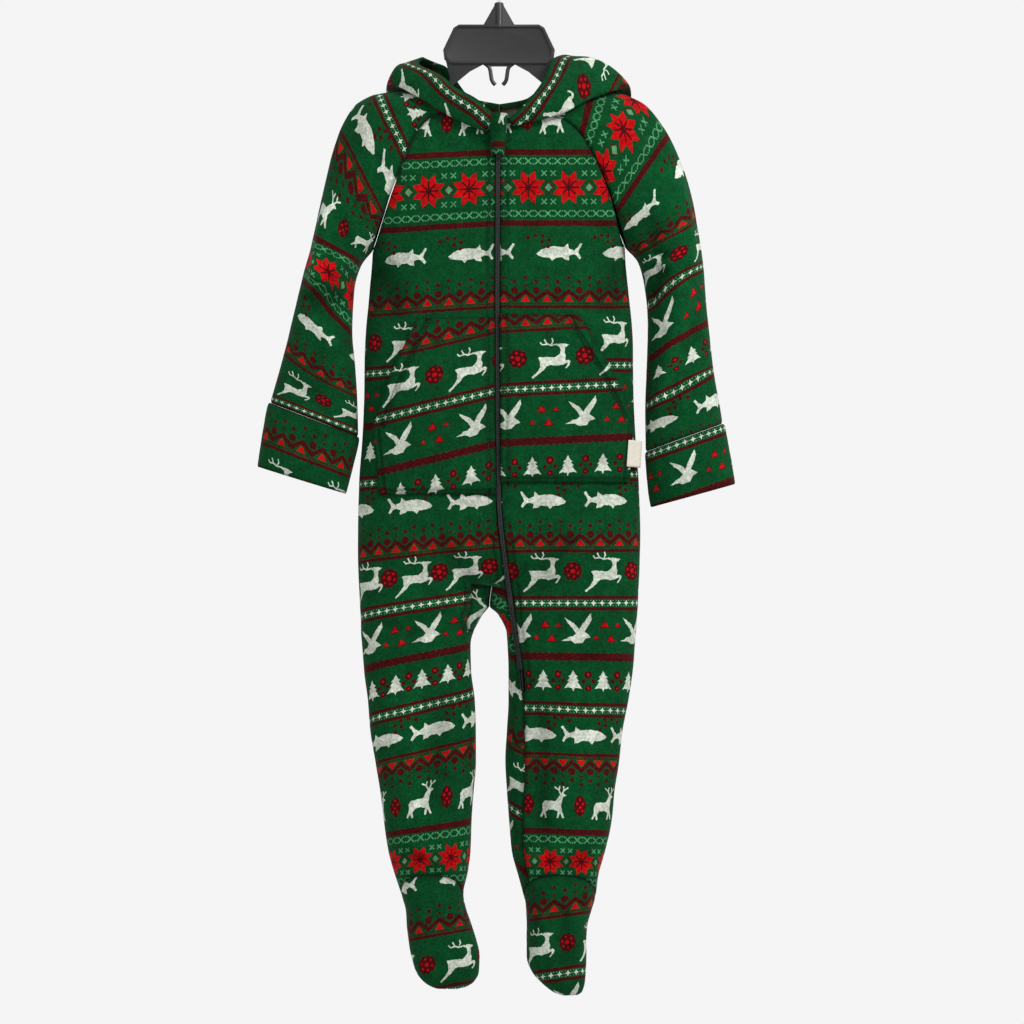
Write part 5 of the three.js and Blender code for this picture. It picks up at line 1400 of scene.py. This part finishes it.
class PajamaStudio(bpy.types.PropertyGroup):
    backdrop: colour_setting("Backdrop", "Colour of the room and floor", (248, 248, 248))
    room: bpy.props.FloatProperty(
        name="Room light", description="Brightness of the room", default=0.97, min=0
    )
    key: bpy.props.FloatProperty(
        name="Key light", description="Power of the main light", unit="POWER", default=58, min=0
    )
    fill: bpy.props.FloatProperty(
        name="Fill light", description="Power of the side light", unit="POWER", default=6, min=0
    )
    lens: bpy.props.FloatProperty(
        name="Lens", description="Focal length of the camera", default=81.4, min=10, unit="CAMERA"
    )


def print_colours():
    look = bpy.context.scene.pajama_cloth
    chosen = (look.ground, look.dark_red, look.bright_red, look.white, look.pale_green)
    return [(*c, 1.0) for c in chosen]


# ---------------------------------------------------------------------------- finishes
class Finish:
    """A material and short ways to add its nodes."""

    def __init__(self, name):
        self.material = bpy.data.materials.new(name)
        self.material.use_nodes = True
        self.tree = self.material.node_tree
        self.shader = next(n for n in self.tree.nodes if n.type == "BSDF_PRINCIPLED")
        self.place = self.node("ShaderNodeTexCoord").outputs["Object"]

    def node(self, kind, **values):
        node = self.tree.nodes.new(kind)
        for key, value in values.items():
            setattr(node, key, value)
        return node

    def set(self, **values):
        for key, value in values.items():
            self.shader.inputs[key.replace("_", " ")].default_value = value
        return self

    def link(self, source, target):
        self.tree.links.new(source, target)
        return target

    def noise(self, scale, detail=3.0, rough=0.55):
        node = self.node("ShaderNodeTexNoise")
        node.inputs["Scale"].default_value = scale
        node.inputs["Detail"].default_value = detail
        node.inputs["Roughness"].default_value = rough
        self.link(self.place, node.inputs["Vector"])
        return node.outputs["Fac"]

    def ramp(self, source, low, high, start=0.0, end=1.0):
        node = self.node("ShaderNodeMapRange")
        for key, value in zip(("From Min", "From Max", "To Min", "To Max"), (low, high, start, end)):
            node.inputs[key].default_value = value
        self.link(source, node.inputs["Value"])
        return node.outputs["Result"]

    def blend(self, factor, first, second, kind="MIX"):
        node = self.node("ShaderNodeMix", data_type="RGBA", blend_type=kind)
        for socket, value in ((node.inputs[0], factor), (node.inputs[6], first), (node.inputs[7], second)):
            if isinstance(value, bpy.types.NodeSocket):
                self.link(value, socket)
            else:
                socket.default_value = value
        return node.outputs[2]

    def bump(self, height, strength, distance):
        node = self.node("ShaderNodeBump")
        node.inputs["Strength"].default_value = strength
        node.inputs["Distance"].default_value = distance
        self.link(height, node.inputs["Height"])
        before = self.shader.inputs["Normal"]
        if before.is_linked:
            self.link(before.links[0].from_socket, node.inputs["Normal"])
        self.link(node.outputs["Normal"], before)


def fleece(name, strength):
    """Brushed pile over the printed colours: mottled, heathered and soft at its edges."""
    known = bpy.data.materials.get(name)
    if known:
        return known
    look = bpy.context.scene.pajama_cloth
    finish = Finish(name)
    # the print attribute brings the print's colours with the painted shade of troughs, seams and grooves in
    # them
    colour = finish.node("ShaderNodeAttribute", attribute_name="print").outputs["Color"]
    patch = finish.ramp(finish.noise(95, 2), 0.3, 0.7, 0.8, 1.16)
    pile = finish.ramp(finish.noise(420, 4, 0.65), 0.32, 0.68, 0.62, 1.3)
    both = finish.node("ShaderNodeMath", operation="MULTIPLY")
    finish.link(patch, both.inputs[0])
    finish.link(pile, both.inputs[1])
    shade = finish.node("ShaderNodeCombineColor")
    for part in shade.inputs[:3]:
        finish.link(both.outputs[0], part)
    mottled = finish.blend(strength, colour, shade.outputs[0], "MULTIPLY")
    fibres = finish.ramp(finish.noise(1150, 2, 0.7), 0.6, 0.74, 0.0, 0.13)
    haired = finish.blend(fibres, mottled, (0.16, 0.3, 0.2, 1))
    finish.link(haired, finish.shader.inputs["Base Color"])
    finish.set(
        Roughness=0.95, Specular_IOR_Level=0.06, Sheen_Weight=0.05, Sheen_Roughness=0.42,
        Sheen_Tint=(0.62, 0.8, 0.7, 1),
    )
    finish.bump(finish.noise(230, 3, 0.6), 0.45, look.nap)
    finish.bump(finish.noise(900, 3, 0.7), 0.6, look.nap * 0.45)
    return finish.material


def plain(name, colour, roughness, grain, depth, strength=0.4, vary=0.16, **sockets):
    """A finish of one colour that varies a little, with a fine relief on it."""
    known = bpy.data.materials.get(name)
    if known:
        return known
    finish = Finish(name)
    dark = tuple(c * (1 - vary) for c in colour) + (1,)
    light = tuple(min(1, c * (1 + vary)) for c in colour) + (1,)
    patch = finish.ramp(finish.noise(grain * 0.22, 3), 0.35, 0.65)
    finish.link(finish.blend(patch, dark, light), finish.shader.inputs["Base Color"])
    rough = finish.ramp(finish.noise(grain * 0.5, 2), 0.3, 0.7, roughness * 0.85, min(1, roughness * 1.15))
    finish.link(rough, finish.shader.inputs["Roughness"])
    finish.set(**sockets)
    finish.bump(finish.noise(grain, 3), strength, depth)
    return finish.material


# ---------------------------------------------------------------------------- rigid pieces
def alone(piece):
    bpy.ops.object.select_all(action="DESELECT")
    piece.select_set(True)
    bpy.context.view_layer.objects.active = piece


# Edges that turn by more than this are rounded and stay crisp
CRISP = math.radians(35)


def from_frame(node, name, finish, body="garment", edge=0.0003, rounds=0):
    """A cleaned copy of a CAD node with rounded edges, which then stands for that node."""
    piece = shown(name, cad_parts[node].data.copy())
    alone(piece)
    bpy.ops.object.mode_set(mode="EDIT")
    bpy.ops.mesh.select_all(action="SELECT")
    bpy.ops.mesh.remove_doubles(threshold=1e-6)
    if not rounds:
        bpy.ops.mesh.dissolve_limited(angle_limit=math.radians(0.5))
    bpy.ops.object.mode_set(mode="OBJECT")
    if rounds:
        bpy.ops.object.modifier_add(type="SUBSURF")
        piece.modifiers[-1].levels = piece.modifiers[-1].render_levels = rounds
    else:
        bpy.ops.object.modifier_add(type="BEVEL")
        bevel = piece.modifiers[-1]
        bevel.width, bevel.segments, bevel.limit_method = edge, 3, "ANGLE"
        bevel.angle_limit = CRISP
    bpy.ops.object.modifier_apply(modifier=piece.modifiers[-1].name)
    bpy.ops.object.shade_smooth_by_angle(angle=CRISP)
    piece.data.materials.clear()
    piece.data.materials.append(finish)
    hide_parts(node)
    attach(piece, body)
    return piece


def bead(length, width):
    """Points and faces of one small rounded bead, made once and then copied."""
    bpy.ops.object.select_all(action="DESELECT")
    bpy.ops.mesh.primitive_uv_sphere_add(segments=6, ring_count=4, radius=1)
    made = bpy.context.object
    corners = np.array([tuple(v.co) for v in made.data.vertices])[:, [2, 0, 1]]
    spots = corners * [length / 2, width / 2, width / 2]
    faces = [tuple(p.vertices) for p in made.data.polygons]
    bpy.data.objects.remove(made)
    return spots, faces


def strewn(name, template, places, along, up, finish, slot_name):
    """One mesh of many copies of a bead, each turned to its place."""
    spots, faces = template
    along = unit(along)
    side = unit(np.cross(up, along))
    up = np.cross(along, side)
    turned = np.stack([along, side, up], axis=1)
    every = places[:, None, :] + np.einsum("vi,pij->pvj", spots, turned)
    count = len(spots)
    mesh = bpy.data.meshes.new(name)
    mesh.from_pydata(
        (every.reshape(-1, 3) * MM).tolist(), [],
        [tuple(v + n * count for v in face) for n in range(len(places)) for face in faces],
    )
    mesh.shade_smooth()
    mesh.materials.append(finish)
    piece = shown(name, mesh)
    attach(piece, "garment")
    return piece


def sewn_line(name, field, distance, top, bottom, pitch):
    """Evenly spaced places along a cut piece, at a distance from one of its edges."""
    table = CUTS[name]
    line = []
    for row in table:
        key = row[:, field]
        order = slice(None) if key[0] < key[-1] else slice(None, None, -1)
        if key.max() < distance:
            continue
        line.append([np.interp(distance, key[order], row[order, c]) for c in range(FIELDS)])
    line = np.array(line)
    line = line[(line[:, NEAR_TOP] >= top) & (line[:, NEAR_TOP] <= bottom)]
    height = HEIGHTS[name](line)
    p = line[:, PLACE] + line[:, NORMAL] * (height + STITCH_LIFT)[:, None]
    run = np.concatenate([[0], np.cumsum(np.linalg.norm(np.diff(p, axis=0), axis=1))])
    at = np.arange(pitch / 2, run[-1], pitch)
    get = lambda values: np.stack([np.interp(at, run, values[:, c]) for c in range(3)], axis=1)
    return get(p), get(np.gradient(p, axis=0)), get(line[:, NORMAL])


def slab(name, grid, normal, thickness, finish, node):
    """A thin sheet from a grid of places, with its thickness behind it."""
    rows, columns = grid.shape[:2]
    points_at = np.concatenate([grid.reshape(-1, 3), (grid - normal * thickness).reshape(-1, 3)])
    c = np.arange(rows * columns).reshape(rows, columns)
    quads = np.stack([c[:-1, :-1], c[:-1, 1:], c[1:, 1:], c[1:, :-1]], axis=-1).reshape(-1, 4)
    loop = [*c[0, :-1], *c[:-1, -1], *c[-1, :0:-1], *c[:0:-1, 0]]
    count = rows * columns
    faces = [tuple(map(int, q)) for q in quads]
    faces += [tuple(int(v) + count for v in q[::-1]) for q in quads]
    faces += [(int(b), int(a), int(a) + count, int(b) + count) for a, b in zip(loop, loop[1:] + loop[:1])]
    d1, d2 = grid[1, 0] - grid[0, 0], grid[0, 1] - grid[0, 0]
    if np.dot(np.cross(d2, d1), normal.reshape(-1, 3)[0]) < 0:
        faces = [face[::-1] for face in faces]
    mesh = bpy.data.meshes.new(name)
    mesh.from_pydata((points_at * MM).tolist(), [], faces)
    mesh.shade_smooth()
    mesh.materials.append(finish)
    piece = shown(name, mesh)
    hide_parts(node)
    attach(piece, "garment")
    return piece


HEIGHTS = {}


def sewn(name, height, side, seed, rests_on, held="hung", **facts):
    """Makes a cut piece and remembers its height for its stitches."""
    HEIGHTS[name] = height
    step = bpy.context.scene.pajama_cloth.net / MM
    piece = cloth(name, height, side, seed, step=step, **facts)
    return piece


SIDES = ((RIGHT, "right"), (LEFT, "left"))
# Distances of the stitches from the zip and from the pocket's opening, where the groove beside
# the zip begins and ends, and how far the thread stands out
FACING_STITCH, POCKET_STITCH = 6.4, 13
ZIP_RUN = (6, 536)
STITCH_LIFT = 0.05
# Rows of stitches: piece, the edge that they follow and how far from it, from where to where
STITCHES = [
    ("front_", NEAR_IN, FACING_STITCH, ZIP_RUN[0], 177),
    ("front_", NEAR_IN, FACING_STITCH, 349, ZIP_RUN[1] - 160),
    ("pocket_", NEAR_IN, FACING_STITCH, 3, 160),
    ("pocket_", NEAR_OUT, POCKET_STITCH, 3, 110),
]
ZIP_TOP_Z = -182


# ---------------------------------------------------------------------------- operators
class PAJAMA_OT_body(bpy.types.Operator):
    """Makes the fronts and backs, and the gusset between the legs"""

    bl_idname = "pajama.body"
    bl_label = "Fronts, backs and gusset"

    def execute(self, context):
        for number, (side, word) in enumerate(SIDES):
            keep = body_panel(side, "front", "front_" + word)
            lines = [(NEAR_IN, FACING_STITCH, *ZIP_RUN, 1.0)]
            height = grooved(soft_height(FRONT_FOLDS, 11 + number), lines)
            sewn("front_" + word, height, side, 21 + number, ["hanger"], keep_g=keep)
            body_panel(side, "back", "back_" + word)
            sewn("back_" + word, soft_height(BACK_FOLDS, 13 + number), side, 31 + number, ["hanger"])
        gusset_strip(RIGHT, "gusset_right", GUSSET_RIGHT_END_Z + SEAM / 2, 0.5)
        gusset_strip(LEFT, "gusset_left", ANKLE_Z, -0.35)
        for side, word in SIDES:
            name = "gusset_" + word
            sewn(name, soft_height(FRONT_FOLDS, 17), side, 41 + side, ["front_" + word])
        return {"FINISHED"}


class PAJAMA_OT_feet(bpy.types.Operator):
    """Makes the vamp and the sole of each foot"""

    bl_idname = "pajama.feet"
    bl_label = "Feet"

    def execute(self, context):
        for side, word in SIDES:
            foot_piece(side, "front", "vamp_" + word)
            foot_piece(side, "back", "sole_" + word)
            away = -9 if side == RIGHT else -14
            creased = soft_height(FRONT_FOLDS, 51 + side)
            sewn("vamp_" + word, creased, side, 53 + side, ["front_" + word], shift=away)
            sewn("sole_" + word, soft_height(None, 55 + side, 0.7), side, 57 + side, ["back_" + word])
        return {"FINISHED"}


class PAJAMA_OT_sleeves(bpy.types.Operator):
    """Makes the raglan sleeves and their deep cuffs"""

    bl_idname = "pajama.sleeves"
    bl_label = "Sleeves and cuffs"

    def execute(self, context):
        for side, word in SIDES:
            sleeve_piece(side, "sleeve_" + word)
            folds = [fold[1:] for fold in SLEEVE_FOLDS if fold[0] == side]
            lines = [
                (at0 * SLEEVE_LENGTH, t0 * SLEEVE_GIRTH, at1 * SLEEVE_LENGTH, t1 * SLEEVE_GIRTH, w, h)
                for at0, t0, at1, t1, w, h in folds
            ]
            sewn("sleeve_" + word, soft_height(lines, 61 + side, 0.7), side, 63 + side, ["hanger"])
            cuff_piece(side, "cuff_" + word)
            sewn(
                "cuff_" + word, soft_height(None, 65 + side, 0.9), side, 67 + side, ["sleeve_" + word],
                joined=True, free=(NEAR_END,),
            )
        return {"FINISHED"}


class PAJAMA_OT_hood(bpy.types.Operator):
    """Makes the two halves of the hood, which lies back over the shoulders"""

    bl_idname = "pajama.hood"
    bl_label = "Hood"

    def execute(self, context):
        for side, word in SIDES:
            hood_piece(side, "hood_" + word)
            height = grooved(soft_height(None, 71 + side, 0.9), [(NEAR_END, 15, 0, 9999, 0.6)])
            sewn("hood_" + word, height, side, 73 + side, ["front_" + word, "back_" + word], free=(NEAR_END,))
        return {"FINISHED"}


class PAJAMA_OT_pocket(bpy.types.Operator):
    """Makes the two halves of the pouch pocket"""

    bl_idname = "pajama.pocket"
    bl_label = "Pouch pocket"

    def execute(self, context):
        for side, word in SIDES:
            pocket_piece(side, "pocket_" + word)
            lines = [
                (NEAR_OUT, POCKET_STITCH, 0, 112, 1.1), (NEAR_OUT, 9.5, 0, 112, 1.1),
                (NEAR_OUT, 7, 112, 999, 0.9), (NEAR_END, 4, 0, 999, 0.8),
                (NEAR_IN, FACING_STITCH, 0, 999, 1.0),
            ]
            height = grooved(soft_height(None, 81 + side, 0.6), lines)
            sewn("pocket_" + word, height, side, 83 + side, ["front_" + word], free=(NEAR_OUT,))
        return {"FINISHED"}


class PAJAMA_OT_zip(bpy.types.Operator):
    """Makes the coil of the zip, its slider and pull, and the cloth guard over its top"""

    bl_idname = "pajama.zip"
    bl_label = "Zip and guard"

    def execute(self, context):
        look = context.scene.pajama_fittings
        black = plain("zip_coil", look.zip_black, 0.42, 900, 0.0002)
        tape = plain("zip_tape", look.zip_black, 0.85, 1400, 0.0003, vary=0.3)
        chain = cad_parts["zip_chain"]
        chain.data.materials.clear()
        chain.data.materials.append(tape)
        z = np.arange(ZIP_TOP_Z, ZIP_END_Z + 1.5, -look.tooth_pitch / MM)
        places, along, up = [], [], []
        for hand in (-1, 1):
            x = zip_x(z) + hand * 0.95
            p = front_surface(x, z)
            across = front_surface(x + 1, z) - front_surface(x - 1, z)
            down = front_surface(x, z - 1) - front_surface(x, z + 1)
            out = unit(np.cross(down, across))
            out *= np.where(out[:, 1:2] > 0, -1, 1)
            places.append(p + out * 0.35)
            along.append(across)
            up.append(out)
        teeth = bead(1.75, 1.15)
        strewn("zip_teeth", teeth, *map(np.concatenate, (places, along, up)), black, "zip")
        painted = plain("painted_metal", look.zip_black, 0.3, 1500, 0.0001, Metallic=0.55)
        from_frame("zip_slider", "slider_body", painted, edge=0.0005)
        from_frame("zip_pull", "pull_tab", painted, body="zip_pull", edge=0.00035)
        self.guard()
        return {"FINISHED"}

    def guard(self):
        """A small cloth arch that stands out over the slider and the pull."""
        top, bottom = -173, -210
        g, f = np.meshgrid(np.linspace(0, 1, 33), np.linspace(0, 1, 33), indexing="ij")
        z = mix(top, bottom, g)
        half = mix(8.5, 6.5, g)
        x = -1.2 * g + half * (2 * f - 1)
        rest = np.minimum(z, NECK_FRONT_Z)
        share = np.abs(x) / TORSO.at("half", rest, "z")
        y = -TORSO.at("front", rest, "z") * (1 - share**BODY_SQUARE) ** (1 / BODY_SQUARE)
        arch = np.sin(math.pi * f) ** 0.6 * 7.5
        over = 12 * smooth(1 - 1.5 * g)
        p = points(x, y - 2.7 - arch - over, z)
        table = laid(p, 1)
        if np.mean(table[..., NORMAL_Y]) > 0:
            table[..., NORMAL] *= -1
        table[..., NORMAL] = unit(table[..., NORMAL] + [0, -1.2, 0])
        table[..., FLAT_X], table[..., FLAT_V] = table[..., NEAR_IN], PRINT_TOP_Z - z
        CUTS["zip_guard"] = table
        sewn(
            "zip_guard", soft_height(None, 91, 0.4), RIGHT, 93, ["front_left"], thick=1.5,
            free=(NEAR_IN, NEAR_OUT, NEAR_END),
        )


class PAJAMA_OT_labels(bpy.types.Operator):
    """Makes the blank label inside the neck and the blank tab beside the pocket"""

    bl_idname = "pajama.labels"
    bl_label = "Blank labels"

    def execute(self, context):
        shade = context.scene.pajama_cloth.label
        cream = plain("label_tape", shade, 0.6, 1600, 0.0002, vary=0.05, Sheen_Weight=0.2)
        self.neck(cream)
        self.tab(cream)
        return {"FINISHED"}

    def neck(self, cream):
        """A label that hangs a little in front of the back, and waves at its foot."""
        f, g = np.meshgrid(np.linspace(0, 1, 25), np.linspace(0, 1, 13))
        x, z = mix(-17, 19, f), mix(-165.5, -180, g)
        near = float(TORSO.at("back", -172, "z")) - FLEECE + SEAM / 2 - 2.0
        y = near + 0.35 * np.sin(f * 9 + g * 2) * g
        grid = points(x, y, z)
        normal = np.array([0.0, -1, 0]) + 0 * grid
        label = slab("neck_label_tape", grid, normal, 0.5, cream, "neck_label")

    def tab(self, cream):
        """A tab that turns out from under the pocket's edge."""
        table = CUTS["pocket_left"]
        place = lambda across, down: read(table, np.array([[across, down]]))[0]
        rows = []
        for down in np.linspace(0.745, 0.905, 13):
            root, edge = place(0.96, down), place(1, down)
            over = SEAM + 0.8 + 0.2
            a = root[PLACE] + root[NORMAL] * over
            b = edge[PLACE] + edge[NORMAL] * over
            c = b + [8, 4, -1]
            t = np.linspace(0, 1, 11)[:, None]
            rows.append((1 - t) ** 2 * a + 2 * t * (1 - t) * b + t**2 * c)
        grid = np.array(rows)
        normal = unit(np.array([0.5, -0.87, 0])) + 0 * grid
        tab = slab("side_tab_tape", grid, normal, 0.8, cream, "side_tab")


class PAJAMA_OT_stitching(bpy.types.Operator):
    """Sews the rows of stitches beside the zip and along the pocket's slanted edges"""

    bl_idname = "pajama.stitching"
    bl_label = "Stitching"

    def execute(self, context):
        look = context.scene.pajama_cloth
        pitch = look.stitch / MM
        thread = plain("sewing_thread", look.thread, 0.7, 2500, 0.0002, vary=0.2)
        runs = []
        for _, word in SIDES:
            runs += [sewn_line(piece + word, *where, pitch) for piece, *where in STITCHES]
        places, along, up = (np.concatenate(part) for part in zip(*runs))
        strewn("stitches", bead(pitch * 0.8, 0.62), places, along, up, thread, "fleece")
        return {"FINISHED"}


class PAJAMA_OT_hanger(bpy.types.Operator):
    """Finishes the plastic hanger and its wire hook"""

    bl_idname = "pajama.hanger"
    bl_label = "Hanger and hook"

    def execute(self, context):
        look = context.scene.pajama_fittings
        black = plain("grained_plastic", look.plastic, 0.5, 1300, 0.00025, 0.5, Specular_IOR_Level=0.45)
        wire = plain("bright_wire", rgb(205, 207, 210), 0.16, 700, 0.00003, 0.2, vary=0.05, Metallic=1.0)
        from_frame("hanger", "hanger_moulding", black, edge=look.edge)
        from_frame("hook", "hook_rod", wire, rounds=2)
        return {"FINISHED"}


class PAJAMA_OT_stage(bpy.types.Operator):
    """Sets the pale floor, the lights and the camera"""

    bl_idname = "pajama.stage"
    bl_label = "Floor, lights and camera"

    def execute(self, context):
        look = context.scene.pajama_studio
        world = bpy.data.worlds.new("studio_room")
        context.scene.world = world
        world.use_nodes = True
        room = world.node_tree.nodes["Background"]
        room.inputs["Color"].default_value = (*look.backdrop, 1)
        room.inputs["Strength"].default_value = look.room
        bpy.ops.object.select_all(action="DESELECT")
        bpy.ops.mesh.primitive_circle_add(vertices=96, radius=0.9, fill_type="NGON", location=(0, 0, -1.35))
        floor = context.object
        floor.name = "pale_floor"
        dimmed = [c * 0.62 for c in look.backdrop]
        floor.data.materials.append(plain("pale_floor", dimmed, 0.9, 40, 0.0005, 0.1, vary=0.01))
        self.lamp("key", (1.35, -1.35, 1.05), 0.7, look.key)
        self.lamp("fill", (-1.6, -1.3, -0.1), 1.4, look.fill)
        camera = bpy.data.cameras.new("photo_camera")
        camera.lens, camera.sensor_width, camera.clip_end = look.lens, 36, 60
        holder = shown("photo_camera", camera)
        holder.location = (CAMERA_X * MM, -CAMERA_AWAY * MM, CAMERA_Z * MM)
        holder.rotation_euler = (math.pi / 2, 0, 0)
        context.scene.camera = holder
        context.scene.view_settings.view_transform = "Standard"
        return {"FINISHED"}

    def lamp(self, name, place, size, power):
        light = bpy.data.lights.new(name, "AREA")
        light.size, light.energy = size, power
        holder = shown(name, light)
        holder.location = place
        holder.rotation_euler = (Vector((0, 0, -0.5)) - Vector(place)).to_track_quat("-Z", "Y").to_euler()


OPERATORS = (
    PAJAMA_OT_stage, PAJAMA_OT_body, PAJAMA_OT_feet, PAJAMA_OT_sleeves, PAJAMA_OT_hood, PAJAMA_OT_pocket,
    PAJAMA_OT_zip, PAJAMA_OT_labels, PAJAMA_OT_stitching, PAJAMA_OT_hanger,
)
SETTINGS = {"pajama_cloth": PajamaCloth, "pajama_fittings": PajamaFittings, "pajama_studio": PajamaStudio}


class PAJAMA_PT_panel(bpy.types.Panel):
    """Lists the steps that make the one-piece, with their settings"""

    bl_label = "Pajama"
    bl_idname = "PAJAMA_PT_panel"
    bl_space_type = "VIEW_3D"
    bl_region_type = "UI"
    bl_category = "Pajama"

    def draw(self, context):
        for step in OPERATORS:
            self.layout.operator(step.bl_idname)
        for name, group in SETTINGS.items():
            box = self.layout.box()
            for key in group.__annotations__:
                box.prop(getattr(context.scene, name), key)


def register():
    for part in (*SETTINGS.values(), *OPERATORS, PAJAMA_PT_panel):
        bpy.utils.register_class(part)
    for name, group in SETTINGS.items():
        setattr(bpy.types.Scene, name, bpy.props.PointerProperty(type=group))


def unregister():
    for name in SETTINGS:
        delattr(bpy.types.Scene, name)
    for part in (PAJAMA_PT_panel, *reversed(OPERATORS), *reversed(list(SETTINGS.values()))):
        bpy.utils.unregister_class(part)


def main():
    register()
    for step in OPERATORS:
        getattr(bpy.ops.pajama, step.bl_idname.split(".")[1])()


if __name__ == "__main__":
    main()
